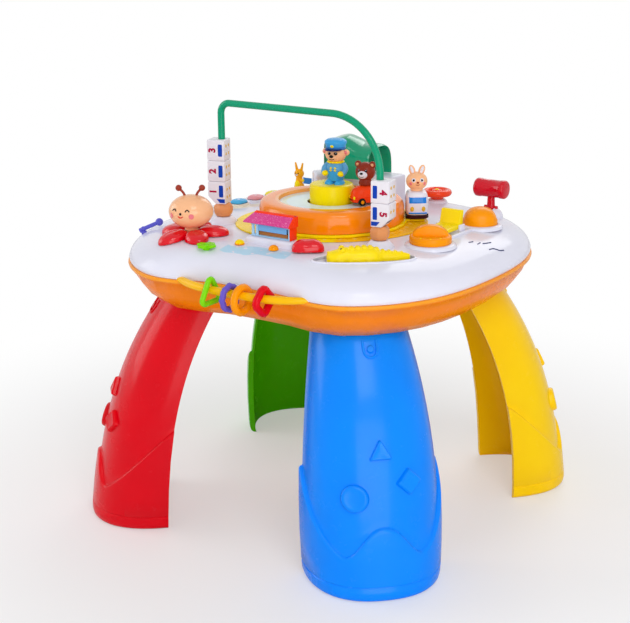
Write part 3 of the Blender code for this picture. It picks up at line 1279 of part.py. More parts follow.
def flagFigure(material):
    ground = deckHeight(FLAG_X, FLAG_Y) + SLOPE_GAP
    height = FLAG_FIGURE_TOP - ground
    parts = [turned(((height * 0.20, ground), (height * 0.19, ground + height * 0.1),
                     (height * 0.10, ground + height * 0.52)),
                    10, (FLAG_X, FLAG_Y)),
             ball((FLAG_X, FLAG_Y, ground + height * 0.62), (height * 0.17, height * 0.16, height * 0.16),
                  10, 8)]
    for side in (-1, 1):
        parts.append(rod((FLAG_X + side * height * 0.07, FLAG_Y, ground + height * 0.66),
                         (FLAG_X + side * height * 0.15, FLAG_Y, FLAG_FIGURE_TOP), height * 0.06, 6,
                         height * 0.03))
    hand = (FLAG_X + height * 0.24, FLAG_Y - height * 0.1, ground + height * 0.42)
    parts.append(rod((FLAG_X, FLAG_Y, ground + height * 0.40), hand, height * 0.05, 6))
    parts.append(block((hand[0] - FLAG_THICKNESS, hand[1] - FLAG_THICKNESS / 2, hand[2] - FLAG_DROP / 2),
                       (hand[0] + FLAG_LENGTH, hand[1] + FLAG_THICKNESS / 2, hand[2] + FLAG_DROP / 2)))
    parts.append(rod((FLAG_X, FLAG_Y, ground - 3 * WALL), (FLAG_X, FLAG_Y, ground + WALL), STEM_RADIUS))
    return make("flag_figure", fused(parts), material, (FLAG_X, FLAG_Y, ground))


# Rings on the rail

def barHeightAndPlace(x):
    """The rail's middle line at a place along it."""
    points = railPoints()
    for before, after in zip(points, points[1:]):
        if before.x <= x <= after.x:
            return before.lerp(after, (x - before.x) / (after.x - before.x))
    return points[0]


def railRing(name, order, outline, tube_radius, material):
    """A closed ring across the rail, hanging by the inside of its upper edge."""
    bar = barHeightAndPlace(RING_PLACES[order])
    top = max(height for across, height in outline)
    drop = top - tube_radius - RAIL_RADIUS - RING_CLEARANCES[order]
    points = [Vector((bar.x, bar.y + across, bar.z + height - drop)) for across, height in outline]
    return make(name, tube(points, tube_radius, 7, True), material, bar)


def ringOutline(waves, depth):
    points = []
    for step in range(20):
        angle = math.tau * step / 20
        radius = (RING_RADIUS - RING_TUBE) * (1 - depth * (1 - math.cos(waves * (angle - math.pi / 2))) / 2)
        points.append((radius * math.cos(angle), radius * math.sin(angle)))
    return points


def triangleOutline():
    points = []
    corner = RING_RADIUS * 1.12
    bend = RING_TUBE
    for step in range(3):
        angle = math.pi / 2 + math.tau * step / 3
        middle = Vector(((corner - 2 * bend) * math.cos(angle), (corner - 2 * bend) * math.sin(angle)))
        for turn in (-0.9, -0.45, 0, 0.45, 0.9):
            points.append(tuple(middle + Vector((math.cos(angle + turn), math.sin(angle + turn))) * bend))
    return points


def rail(material):
    return make("rail_bar", tube(railPoints(), RAIL_RADIUS), material)


# Inside the case

def insides(green, black, grey, steel):
    low = TRAY_BOTTOM + WALL + BOARD_POST_HEIGHT + GAP
    board = block((BOARD_X - BOARD_LENGTH / 2, -BOARD_WIDTH / 2, low),
                  (BOARD_X + BOARD_LENGTH / 2, BOARD_WIDTH / 2, low + BOARD_THICKNESS))
    make("circuit_board", board, green)
    base = TRAY_BOTTOM + WALL + GAP
    cone = turned(((SPEAKER_RADIUS, base), (SPEAKER_RADIUS, base + SPEAKER_HEIGHT / 4),
                   (SPEAKER_RADIUS * 0.5, base + SPEAKER_HEIGHT * 0.7),
                   (SPEAKER_RADIUS * 0.5, base + SPEAKER_HEIGHT)),
                  24, (SPEAKER_X, 0))
    make("speaker", cone, black)
    door = block((-DOOR_LENGTH / 2, -DOOR_WIDTH / 2, TRAY_BOTTOM), (DOOR_LENGTH / 2, DOOR_WIDTH / 2,
                 TRAY_BOTTOM + DOOR_THICKNESS))
    make("battery_door", door, grey)
    for index, spot in enumerate(bossPlaces()):
        screw = turned(((SCREW_HEAD_RADIUS, TRAY_BOTTOM - GAP - SCREW_HEAD_HEIGHT),
                        (SCREW_HEAD_RADIUS, TRAY_BOTTOM - GAP), (SCREW_RADIUS, TRAY_BOTTOM - GAP),
                        (SCREW_RADIUS, TRAY_BOTTOM + SCREW_LENGTH)), 8, spot)
        make("case_screw_%d" % (index + 1), screw, steel)


def build():
    clearScene()
    white = finish("white shell", (0.90, 0.90, 0.95))
    orange = finish("orange shell", (1.0, 0.20, 0.0))
    red = finish("red plastic", (0.72, 0.0, 0.02))
    blue = finish("blue plastic", (0.0, 0.28, 1.0))
    yellow = finish("yellow plastic", (1.0, 0.72, 0.0))
    green = finish("green plastic", (0.05, 0.32, 0.0))
    sea = finish("sea green plastic", (0.0, 0.32, 0.16))
    peach = finish("peach plastic", (1.0, 0.52, 0.28))
    brown = finish("brown plastic", (0.27, 0.03, 0.015))
    violet = finish("violet plastic", (0.12, 0.12, 0.63))
    sky = finish("sky blue plastic", (0.14, 0.42, 0.80))
    pale = finish("pale blue disc", (0.75, 0.90, 1.0), 0.25)
    lime = finish("lime plastic", (0.21, 0.72, 0.0))
    wood = finish("bead plastic", (0.81, 0.39, 0.19))
    dark = finish("dark plastic", (0.05, 0.02, 0.02))
    steel = finish("screw steel", (0.6, 0.6, 0.6), 0.3, 1.0)
    pink = finish("pink plastic", (0.80, 0.35, 0.40))

    lowerShell(orange)
    topShell(white)
    for name, angle, material in zip(("leg_red", "leg_blue", "leg_yellow", "leg_green"), cornerAngles(),
                                     (red, blue, yellow, green)):
        leg(name, angle, material)
    track(yellow)
    trainRing(yellow)
    drum(orange)
    retainer(dark)
    drumDisc(pale)
    centreCap(yellow)
    make("driver", figure(DRIVER_X, DRIVER_Y, CAP_TOP + GAP, FACING, True), sky, (0, 0, CAP_TOP))
    car(red)
    carBear(brown)
    trainPieces(dark, white, peach)
    tunnel(sea)
    make("arch_tube", tube(archPoints(), ARCH_TUBE_RADIUS), sea)
    beads(white, wood)
    station(red, pink)
    petals(red)
    bee(peach)
    clover(lime)
    lever(violet)
    bean(red)
    lamp("lamp_yellow", LAMP_YELLOW_X, yellow)
    lamp("lamp_orange", LAMP_ORANGE_X, orange)
    crocodile(yellow)
    knob(orange)
    domeButton(orange)
    seatRocker(yellow)
    mallet(red)
    steeringWheel(red)
    keys((orange, sky, pink, yellow))
    flagFigure(yellow)
    rail(yellow)
    railRing("ring_triangle", 0, triangleOutline(), RING_TUBE * 0.75, lime)
    railRing("ring_scalloped", 1, ringOutline(8, 0.12), RING_TUBE * 0.8, violet)
    railRing("ring_round", 2, ringOutline(1, 0), RING_TUBE, orange)
    railRing("ring_flower", 3, ringOutline(4, 0.2), RING_TUBE, red)
    insides(green, dark, white, steel)


build()
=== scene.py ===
import math
import bpy
from mathutils import Matrix, Vector


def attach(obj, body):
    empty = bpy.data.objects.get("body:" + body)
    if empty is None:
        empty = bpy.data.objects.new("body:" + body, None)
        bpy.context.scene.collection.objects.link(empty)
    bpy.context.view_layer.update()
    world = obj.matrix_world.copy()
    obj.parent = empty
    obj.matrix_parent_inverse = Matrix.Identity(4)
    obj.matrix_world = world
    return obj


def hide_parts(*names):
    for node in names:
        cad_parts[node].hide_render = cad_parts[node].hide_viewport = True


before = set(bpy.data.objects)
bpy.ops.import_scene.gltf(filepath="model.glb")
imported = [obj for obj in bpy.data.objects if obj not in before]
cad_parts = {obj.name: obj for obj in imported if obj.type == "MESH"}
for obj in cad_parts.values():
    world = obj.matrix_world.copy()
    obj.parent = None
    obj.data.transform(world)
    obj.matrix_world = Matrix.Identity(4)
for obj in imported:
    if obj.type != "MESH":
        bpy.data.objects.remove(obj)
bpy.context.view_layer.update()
print("frame loaded,", len(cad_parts), "nodes")


# Working with objects the way one does by hand: pick, edit, modify, apply.

def deselectAll():
    for item in list(bpy.context.selected_objects):
        item.select_set(False)


def pick(piece):
    deselectAll()
    piece.select_set(True)
    bpy.context.view_layer.objects.active = piece
    return piece


def newest():
    return bpy.context.view_layer.objects.active


def settle(piece):
    pick(piece)
    bpy.ops.object.transform_apply(location=True, rotation=True, scale=True)
    return piece


def modify(piece, kind, **settings):
    pick(piece)
    modifier = piece.modifiers.new(kind.lower(), kind)
    for name, value in settings.items():
        setattr(modifier, name, value)
    bpy.ops.object.modifier_apply(modifier=modifier.name)
    return piece


def rounded(piece, width, segments=3, angle=30):
    return modify(piece, "BEVEL", width=width, segments=segments, limit_method="ANGLE",
                  angle_limit=math.radians(angle))


def closeUp(piece):
    # doubles merged, then every face turned outwards
    pick(piece)
    bpy.ops.object.mode_set(mode="EDIT")
    bpy.ops.mesh.select_all(action="SELECT")
    bpy.ops.mesh.remove_doubles(threshold=0.000005)
    bpy.ops.mesh.normals_make_consistent(inside=False)
    bpy.ops.object.mode_set(mode="OBJECT")
    return piece


def shapeOf(points, edges=(), faces=()):
    mesh = bpy.data.meshes.new("shape")
    mesh.from_pydata([tuple(point) for point in points], list(edges), list(faces))
    piece = bpy.data.objects.new("shape", mesh)
    bpy.context.scene.collection.objects.link(piece)
    return piece


def smoothLine(points, steps=6, closed=False):
    # a curve through all the points, as tuples
    count = len(points)
    line = []
    for index in range(count if closed else count - 1):
        if closed:
            a, b, c, d = (points[(index + shift) % count] for shift in (-1, 0, 1, 2))
        else:
            a, b = points[max(index - 1, 0)], points[index]
            c, d = points[index + 1], points[min(index + 2, count - 1)]
        for step in range(steps):
            t = step / steps
            line.append(tuple(0.5 * (2 * q + (r - p) * t + (2 * p - 5 * q + 4 * r - s) * t * t
                                     + (3 * q - p - 3 * r + s) * t ** 3) for p, q, r, s in zip(a, b, c, d)))
    if not closed:
        line.append(tuple(points[-1]))
    return line


def lathe(profile, centre=(0, 0), steps=96, ring=False):
    # (radius, height) pairs spun about the upright line through centre
    x, y = centre
    count = len(profile)
    edges = [(index, (index + 1) % count) for index in range(count if ring else count - 1)]
    piece = shapeOf([(x + radius, y, height) for radius, height in profile], edges)
    pick(piece)
    bpy.ops.object.mode_set(mode="EDIT")
    bpy.ops.mesh.select_all(action="SELECT")
    bpy.ops.mesh.spin(steps=steps, angle=math.tau, center=(x, y, 0), axis=(0, 0, 1))
    bpy.ops.object.mode_set(mode="OBJECT")
    return closeUp(piece)


def ball(centre, radii, turn=0.0, tilt=0.0, segments=40, rings=22):
    deselectAll()
    bpy.ops.mesh.primitive_uv_sphere_add(segments=segments, ring_count=rings, radius=1, location=centre,
                                         rotation=(tilt, 0, turn))
    piece = newest()
    piece.scale = (radii,) * 3 if isinstance(radii, float) else radii
    return settle(piece)


def dome(centre, radii, turn=0.0, skirt=0.0, fullness=1.0):
    # the upper half of a ball on a short straight skirt
    quarter = [math.pi / 2 * step / 12 for step in range(12)]
    profile = [(math.cos(a) ** fullness, math.sin(a) ** fullness if a else 0.0) for a in quarter] + [(0, 1)]
    piece = lathe(profile, steps=64)
    piece.data.transform(Matrix.Diagonal((*radii, 1)))
    pick(piece)
    bpy.ops.object.mode_set(mode="EDIT")
    bpy.ops.mesh.select_all(action="DESELECT")
    bpy.ops.mesh.select_non_manifold()
    bpy.ops.mesh.extrude_region_move(TRANSFORM_OT_translate={"value": (0, 0, -max(skirt, 0.0004))})
    bpy.ops.mesh.fill()
    bpy.ops.object.mode_set(mode="OBJECT")
    piece.data.transform(Matrix.Translation(centre) @ Matrix.Rotation(turn, 4, "Z"))
    return closeUp(piece)


def slab(low, high, bevel=0.0, segments=3):
    deselectAll()
    middle = [(a + b) / 2 for a, b in zip(low, high)]
    bpy.ops.mesh.primitive_cube_add(size=1, location=middle)
    piece = newest()
    piece.scale = [abs(b - a) for a, b in zip(low, high)]
    settle(piece)
    return modify(piece, "BEVEL", width=bevel, segments=segments) if bevel else piece


def rod(start, end, radius, tip=None, sides=40):
    deselectAll()
    start, end = Vector(start), Vector(end)
    along = end - start
    bpy.ops.mesh.primitive_cone_add(vertices=sides, radius1=radius, radius2=radius if tip is None else tip,
                                    depth=along.length, location=(start + end) / 2,
                                    rotation=along.to_track_quat("Z", "Y").to_euler())
    return settle(newest())


def pipe(points, radius, closed=False, fineness=6):
    deselectAll()
    curve = bpy.data.curves.new("pipe", "CURVE")
    curve.dimensions = "3D"
    curve.bevel_depth = radius
    curve.bevel_resolution = fineness
    curve.use_fill_caps = True
    spline = curve.splines.new("POLY")
    spline.points.add(len(points) - 1)
    for spot, point in zip(spline.points, points):
        spot.co = (*point, 1)
    spline.use_cyclic_u = closed
    piece = bpy.data.objects.new("pipe", curve)
    bpy.context.scene.collection.objects.link(piece)
    pick(piece)
    bpy.ops.object.convert(target="MESH")
    return closeUp(newest())


def plate(outline, low, high, bevel=0.0, segments=3):
    piece = shapeOf([(x, y, low) for x, y in outline], (), [tuple(range(len(outline)))])
    pick(piece)
    bpy.ops.object.mode_set(mode="EDIT")
    bpy.ops.mesh.select_all(action="SELECT")
    bpy.ops.mesh.extrude_region_move(TRANSFORM_OT_translate={"value": (0, 0, high - low)})
    bpy.ops.object.mode_set(mode="OBJECT")
    closeUp(piece)
    return rounded(piece, bevel, segments, 50) if bevel else piece


def skin(loops, ring=False):
    # a closed surface over equal loops of points
    count, rows = len(loops[0]), len(loops)
    faces = []
    for row in range(rows if ring else rows - 1):
        below, above = row * count, (row + 1) % rows * count
        for column in range(count):
            after = (column + 1) % count
            faces.append((below + column, below + after, above + after, above + column))
    if not ring:
        faces += [tuple(range(count)), tuple(range((rows - 1) * count, rows * count))]
    return closeUp(shapeOf([point for loop in loops for point in loop], (), faces))


def moved(piece, matrix):
    piece.data.transform(matrix)
    return piece


def cutOut(piece, *cutters):
    for cutter in cutters:
        modify(piece, "BOOLEAN", operation="DIFFERENCE", solver="EXACT", object=cutter)
        bpy.data.objects.remove(cutter, do_unlink=True)
    return piece


def paint(piece, finish):
    # a finish is a material or the name of one in tint
    piece.data.materials.clear()
    piece.data.materials.append(tint[finish] if isinstance(finish, str) else finish)
    return piece


def joined(*pieces):
    deselectAll()
    for piece in pieces:
        piece.select_set(True)
    bpy.context.view_layer.objects.active = pieces[0]
    if len(pieces) > 1:
        bpy.ops.object.join()
    return pieces[0]


def smoothCopy(node):
    # a CAD node's own shape, its loose triangles merged so that it can be shaded smooth
    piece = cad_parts[node].copy()
    piece.data = piece.data.copy()
    piece.parent = None
    for key in list(piece.keys()):
        del piece[key]
    bpy.context.scene.collection.objects.link(piece)
    pick(piece)
    bpy.ops.object.mode_set(mode="EDIT")
    bpy.ops.mesh.select_all(action="SELECT")
    bpy.ops.mesh.remove_doubles(threshold=0.00001)
    bpy.ops.object.mode_set(mode="OBJECT")
    return piece


def dress(piece, name, body, nodes=(), angle=35):
    settle(piece)
    piece.name = name
    piece.data.name = name
    pick(piece)
    bpy.ops.object.shade_smooth_by_angle(angle=math.radians(angle))
    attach(piece, body)
    if nodes:
        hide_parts(*nodes)
    return piece


def turnAbout(angle, x=0.0, y=0.0, z=0.0):
    return Matrix.Translation((x, y, z)) @ Matrix.Rotation(angle, 4, "Z")


def oval(length, width, sides=64, turn=0.0, middle=(0, 0)):
    c, s = math.cos(turn), math.sin(turn)
    spots = [(length / 2 * math.cos(math.tau * i / sides), width / 2 * math.sin(math.tau * i / sides))
             for i in range(sides)]
    return [(middle[0] + x * c - y * s, middle[1] + x * s + y * c) for x, y in spots]


# Materials. A Field is one socket that varies over a surface; sums on it add Math nodes.

class Field:
    def __init__(self, tree, socket=None):
        self.tree = tree
        self.socket = socket

    def node(self, kind, settings=(), inputs=(), output=0):
        made = self.tree.nodes.new(kind)
        for name, value in dict(settings).items():
            setattr(made, name, value)
        for name, value in dict(inputs).items():
            if isinstance(value, Field):
                self.tree.links.new(value.socket, made.inputs[name])
            else:
                made.inputs[name].default_value = value
        return Field(self.tree, made.outputs[output])

    def math(self, operation, *values):
        return self.node("ShaderNodeMath", {"operation": operation}, dict(enumerate(values)))

    def __add__(self, other):
        return self.math("ADD", self, other)

    __radd__ = __add__

    def __sub__(self, other):
        return self.math("SUBTRACT", self, other)

    def __rsub__(self, other):
        return self.math("SUBTRACT", other, self)

    def __mul__(self, other):
        return self.math("MULTIPLY", self, other)

    __rmul__ = __mul__

    def __abs__(self):
        return self.math("ABSOLUTE", self)

    def sine(self):
        return self.math("SINE", self)

    def ease(self, low, high):
        # 0 below low, 1 above high, soft between
        return self.node("ShaderNodeMapRange", {"interpolation_type": "SMOOTHSTEP"},
                         {"Value": self, "From Min": low, "From Max": high})

    def axes(self):
        split = self.tree.nodes.new("ShaderNodeSeparateXYZ")
        self.tree.links.new(self.socket, split.inputs[0])
        return [Field(self.tree, socket) for socket in split.outputs]


def colour(code):
    # an sRGB hex code as the linear colour that a shader takes
    shares = [int(code[place:place + 2], 16) / 255 for place in (0, 2, 4)]
    return tuple(((v + 0.055) / 1.055) ** 2.4 if v > 0.04045 else v / 12.92 for v in shares) + (1.0,)


def shaded(code, share):
    return tuple(min(channel * share, 1.0) for channel in colour(code)[:3]) + (1.0,)


def mixed(factor, first, second):
    return factor.node("ShaderNodeMix", {"data_type": "RGBA"}, {0: factor, 6: first, 7: second}, 2)


def newFinish(name):
    material = bpy.data.materials.new(name)
    material.use_nodes = True
    field = Field(material.node_tree)
    place = field.node("ShaderNodeTexCoord", {}, {}, "Object")
    return material, material.node_tree.nodes["Principled BSDF"], place


def noise(place, scale, detail=2.0, roughness=0.5):
    return place.node("ShaderNodeTexNoise", {}, {"Vector": place, "Scale": scale, "Detail": detail,
                                                 "Roughness": roughness})


def reachOf(place):
    # distance from the upright line through the origin
    x, y = place.axes()[:2]
    square = x * x + y * y
    return square.math("SQRT", square)


def feed(shader, name, field):
    field.tree.links.new(field.socket, shader.inputs[name])


def plastic(name, code, rough=0.28, coat=0.05, drift=0.03, peel=0.05, prints=None):
    # moulded plastic: faint flow clouds in the colour, a fine skin, and rubbed spots where hands go
    material, shader, place = newFinish(name)
    cloud = noise(place, 16.0, 3.0)
    tone = mixed(cloud.ease(0.3, 0.7), shaded(code, 1 - drift), shaded(code, 1 + drift))
    if prints:
        tone = prints(place, tone)
    feed(shader, "Base Color", tone)
    rubbed = noise(place, 55.0, 5.0, 0.7).ease(0.52, 0.72)
    feed(shader, "Roughness", rubbed * 0.12 + cloud * 0.05 + (rough - 0.04))
    skinBump = noise(place, 700.0, 2.0) + noise(place, 90.0, 2.0) * 0.8
    feed(shader, "Normal", skinBump.node("ShaderNodeBump", {}, {"Strength": peel, "Distance": 0.001,
                                                                 "Height": skinBump}))
    shader.inputs["Coat Weight"].default_value = coat
    shader.inputs["Coat Roughness"].default_value = 0.08
    shader.inputs["Specular IOR Level"].default_value = 0.12
    return material


finishes = {"white": "E6E6F4", "orangeCase": "FF8600", "lip": "FFA028", "legYellow": "FFD000",
            "red": "DC0016", "blue": "0088FF", "yellow": "FFE000", "green": "50C400", "seaGreen": "009A70",
            "drum": "FF8A00", "capYellow": "FFE400", "peach": "FFC090", "petal": "E00018", "lime": "80DD00",
            "purple": "6060D0", "roofEnd": "FF3A00", "plainBlue": "3A80C8", "bench": "C07840", "block": "E8E4EC",
            "windowBlue": "1040B0", "numeral": "B01040", "spot": "E0B030", "tan": "E8A878", "mallet": "D00020",
            "orange": "FF9A00", "wheelRed": "FF4410", "capBlue": "40A8E8", "suit": "60A8D8", "bear": "8C2E1A",
            "trainBlue": "0080E8", "maroon": "381018", "keyBlue": "50B8F0", "keyPink": "F0A0A8",
            "keyYellow": "F0E030", "black": "101012", "brown": "A03A28", "cheek": "F0808A", "pillar": "A8D4F0",
            "crocodile": "FFE010", "ringGreen": "80DC08", "beadTan": "E0965F", "lampYellow": "FFDC00",
            "railAmber": "FFC008", "water": "A8DCF4", "signBlue": "78B4E8", "ringPurple": "6A58C8",
            "amber": "FFB010", "navy": "102060"}
tint = {name: plastic(name, code) for name, code in finishes.items()}
print("finishes ready")


# Deck: a white dome whose rim swells towards the legs and is dented behind the ring rail.

deck = {"radius": 0.225, "cornerSwell": 0.04, "dent": 0.030, "dentAngle": math.radians(274),
        "dentSpread": math.radians(24), "height": 0.336, "rise": 0.033, "wall": 0.0028, "bore": 0.036,
        "shares": [(1.0, 0.0), (1.004, 0.15), (0.985, 0.42), (0.94, 0.68), (0.88, 0.85), (0.80, 0.955),
                   (0.72, 1.0)]}
deckTop = deck["height"]
seam = deckTop - deck["rise"]
domeLine = smoothLine(deck["shares"], 6)


def rimRadius(angle):
    swell = deck["radius"] * (1 + deck["cornerSwell"] * math.cos(4 * (angle - math.radians(45))))
    off = (angle - deck["dentAngle"] + math.pi) % math.tau - math.pi
    return swell - deck["dent"] * math.exp(-(off / deck["dentSpread"]) ** 4)


def deckZ(x, y):
    share = math.hypot(x, y) / rimRadius(math.atan2(y, x))
    for (outer, low), (inner, high) in zip(domeLine[6:], domeLine[7:]):
        if outer >= share >= inner:
            return seam + deck["rise"] * (low + (high - low) * (outer - share) / (outer - inner))
    return deckTop if share < 0.8 else seam


def onDeck(piece, lift=0.0):
    # lets a piece's points follow the dome, as if it were pressed on
    for vertex in piece.data.vertices:
        vertex.co.z += deckZ(vertex.co.x, vertex.co.y) - deckTop + lift
    return piece


def rimLoop(share, height, inset=0.0, steps=200):
    loop = []
    for step in range(steps):
        angle = math.tau * step / steps
        reach = rimRadius(angle) * share - inset
        loop.append((reach * math.cos(angle), reach * math.sin(angle), height))
    return loop


def circleLoop(radius, height, steps=200, x=0.0, y=0.0):
    return [(x + radius * math.cos(math.tau * i / steps), y + radius * math.sin(math.tau * i / steps), height)
            for i in range(steps)]


def bowed(value, power):
    # a sine or cosine raised to a power with its sign kept, for loops between a circle and a square
    return math.copysign(abs(value) ** power, value)


def softLoop(wide, long, power, height, steps, x=0.0, y=0.0):
    return [(x + wide * bowed(math.cos(a), power), y + long * bowed(math.sin(a), power), height)
            for a in [math.tau * i / steps for i in range(steps)]]


def arcBank(inner, outer, low, high, start, end, bevel):
    arc = [start + (end - start) * i / 30 for i in range(31)]
    outline = [(inner * math.cos(a), inner * math.sin(a)) for a in arc]
    outline += [(outer * math.cos(a), outer * math.sin(a)) for a in reversed(arc)]
    return plate(outline, low, high, bevel, 4)


def cone(x, y, rows, steps=64):
    return lathe([(0, rows[0][1])] + list(rows) + [(0, rows[-1][1])], (x, y), steps)


def deckPrint(place, tone):
    # a printed stream in front of the station, and a pale yellow sheet beside the track
    x, y = place.axes()[:2]
    bend = noise(place, 38.0, 1.0) * 0.016
    stream = 1 - abs(y + 0.1420 + bend - x * 0.10).ease(0.0085, 0.0095)
    stream = stream * (1 - abs(x - 0.004).ease(0.0400, 0.0430)) * noise(place, 120.0, 1.0).ease(0.36, 0.40)
    sheet = 1 - abs(x * 0.84 - y * 0.54 + 0.1260).ease(0.0080, 0.0086)
    sheet = sheet * (1 - abs(x * 0.54 + y * 0.84 + 0.0600).ease(0.0450, 0.0460))
    tone = mixed(stream * 0.75, tone, colour(finishes["water"]))
    return mixed(sheet * 0.35, tone, colour("FFF2A0"))


shellWhite = plastic("deckWhite", finishes["white"], rough=0.18, coat=0.12, drift=0.015, peel=0.03,
                     prints=deckPrint)
croc = {"x": 0.120, "y": -0.117, "turn": math.radians(40), "length": 0.108, "width": 0.034, "depth": 0.0052}
knob = {"x": 0.150, "y": -0.030, "radius": 0.0232, "collar": 0.0025, "disc": 0.0085, "grip": 0.0195,
        "turn": math.radians(30)}
domeButton = {"x": 0.152, "y": 0.080, "radius": 0.020, "rise": 0.022, "collar": 0.003}
seat = {"x": 0.135, "y": 0.040, "width": 0.026, "back": 0.023, "reach": 0.035, "thick": 0.004, "pin": 0.0018}
arch = {"half": 0.1075, "y": -0.066, "rise": 0.140, "tube": 0.004, "leftBend": 0.012, "rightBend": 0.062,
        "socketRadius": 0.016, "socketHeight": 0.0075}
wheel = {"x": 0.043, "y": 0.170, "radius": 0.0185, "tube": 0.004, "rise": 0.011, "column": 0.012}
mallet = {"x": 0.131, "y": 0.146, "radius": 0.011, "length": 0.040, "rise": 0.030, "handle": 0.0050,
          "base": 0.015}
station = {"left": -0.022, "right": 0.032, "front": -0.126, "back": -0.115, "plinth": 0.0075, "margin": 0.005,
           "eaves": 0.022, "ridge": 0.034}
bank = {"inner": 0.1135, "outer": 0.143, "rise": 0.0357, "start": math.radians(84), "end": math.radians(134)}
keyRow = {"x": -0.152, "bend": 0.0009, "first": -0.012, "pitch": 0.031, "long": 0.0215, "wide": 0.018,
          "low": deckTop + 0.0034, "corner": 0.75}


def keyPlace(step):
    return keyRow["x"] + keyRow["bend"] * step ** 2, keyRow["first"] + keyRow["pitch"] * step


def crocOutline(margin=0.0):
    return oval(croc["length"] + margin, croc["width"] + margin, 64, croc["turn"], (croc["x"], croc["y"]))


outerRows = [rimLoop(share, seam + deck["rise"] * rise) for share, rise in domeLine]
outerRows += [rimLoop(share, deckTop) for share in (0.62, 0.45, 0.30)] + [circleLoop(deck["bore"], deckTop)]
innerRows = [rimLoop(share, seam + max(deck["rise"] * rise - deck["wall"], 0), deck["wall"])
             for share, rise in domeLine[::3]]
innerRows += [circleLoop(deck["bore"], deckTop - deck["wall"])]
deckPiece = skin(outerRows + innerRows[::-1], ring=True)
sunk = deckTop - 0.0015
pocket = plate(crocOutline(0.005), deckTop - croc["depth"] - 0.003, deckTop + 0.0012, 0.0008)
onDeck(pocket)
for piece in (deckPiece, pocket):
    cutOut(piece, plate(crocOutline(), deckTop - croc["depth"], deckTop + 0.01))
extras = [pocket]
extras.append(arcBank(bank["inner"], bank["outer"], sunk, deckTop + bank["rise"], bank["start"], bank["end"],
                      0.003))
plinth = slab((station["left"] - station["margin"], station["front"] - station["margin"], sunk - 0.002),
              (station["right"] + station["margin"], station["back"] + 0.0003, deckTop + station["plinth"]),
              0.003, 4)
extras.append(plinth)
extras.append(cone(knob["x"], knob["y"], [(knob["radius"] + 0.006, sunk), (knob["radius"] + 0.005, deckTop + 0.001),
                                          (knob["radius"] + 0.003, deckTop + knob["collar"])]))
ring = [(domeButton["radius"] + 0.0005, sunk), (domeButton["radius"] + 0.0065, sunk),
        (domeButton["radius"] + 0.0055, deckTop + 0.0018),
        (domeButton["radius"] + 0.003, deckTop + domeButton["collar"]),
        (domeButton["radius"] + 0.0005, deckTop + domeButton["collar"])]
extras.append(lathe(ring, (domeButton["x"], domeButton["y"]), 72, ring=True))
wheelTop = deckTop + wheel["rise"]
extras.append(cone(wheel["x"], wheel["y"], [(wheel["column"] + 0.003, deckTop - 0.004),
                                            (wheel["column"], deckTop + 0.001),
                                            (wheel["column"] * 0.8, wheelTop - 2 * wheel["tube"])]))
for side in (-1, 1):
    extras.append(cone(side * arch["half"], arch["y"], [
        (arch["socketRadius"], sunk), (arch["socketRadius"], deckTop),
        (arch["socketRadius"] * 0.95, deckTop + 0.0022), (arch["socketRadius"] * 0.72, deckTop + 0.0058),
        (arch["socketRadius"] * 0.60, deckTop + arch["socketHeight"])]))
malletGround = deckZ(mallet["x"], mallet["y"])
malletAxis = malletGround + 2 * mallet["handle"]
base = dome((mallet["x"], mallet["y"], malletGround - 0.002), (mallet["base"], mallet["base"] * 0.95, 0.0128))
slotHalf = mallet["handle"] + 0.0004
slot = slab((mallet["x"] - slotHalf, mallet["y"] - 0.03, malletAxis - slotHalf),
            (mallet["x"] + slotHalf, mallet["y"] + slotHalf, malletAxis + 0.03))
extras.append(cutOut(base, slot))
seatAxis = deckTop + 3 * seat["pin"]
for side in (-1, 1):
    edge = seat["x"] + side * (seat["width"] / 2 + 0.0003)
    extras.append(slab((edge, seat["y"] - 0.0054, sunk),
                       (edge + side * 0.003, seat["y"] + 0.0054, seatAxis + 0.0036), 0.0008))
frameLine = [(seat["x"] + seat["width"] / 2 + 0.006, seat["y"] - seat["reach"]),
             (seat["x"] + seat["width"] / 2 + 0.006, seat["y"] + 0.022), (seat["x"] + 0.002, seat["y"] + 0.027)]
for (x1, y1), (x2, y2) in zip(frameLine, frameLine[1:]):
    extras.append(pipe([(x1, y1, deckZ(x1, y1) + 0.0005), (x2, y2, deckZ(x2, y2) + 0.0005)], 0.0022))
for step in range(4):
    # a low bezel round each key
    bezelRows = [softLoop(keyRow["wide"] / 2 + reach, keyRow["long"] / 2 + reach, keyRow["corner"], height, 72,
                          *keyPlace(step))
                 for reach, height in ((0.0004, sunk), (0.0026, sunk), (0.0024, deckTop + 0.0014),
                                       (0.0016, deckTop + 0.0025), (0.0004, deckTop + 0.0026))]
    extras.append(skin(bezelRows, ring=True))
for piece in extras:
    closeUp(piece)
deckPiece = paint(joined(deckPiece, *extras), shellWhite)
faceLines = [[(0.1762, 0.0091), (0.1779, 0.0154)], [(0.1849, 0.0130), (0.1844, 0.0198)],
             [(0.1874, 0.0208), (0.1891, 0.0271), (0.1903, 0.0341)],
             [(0.1987, 0.0149), (0.1992, 0.0215), (0.2017, 0.0261), (0.2040, 0.0294), (0.2051, 0.0369)]]
strokes = [pipe([(x, y, deckZ(x, y) + 0.0001) for x, y in smoothLine(line, 4)], 0.0007, fineness=3)
           for line in faceLines]
deckPiece = joined(deckPiece, paint(joined(*strokes), "navy"))
dress(deckPiece, "deck", "table", ["top_shell"], 40)
print("deck done")


# Tray: the CAD's own case shaded smooth, with a lighter lip along the seam.

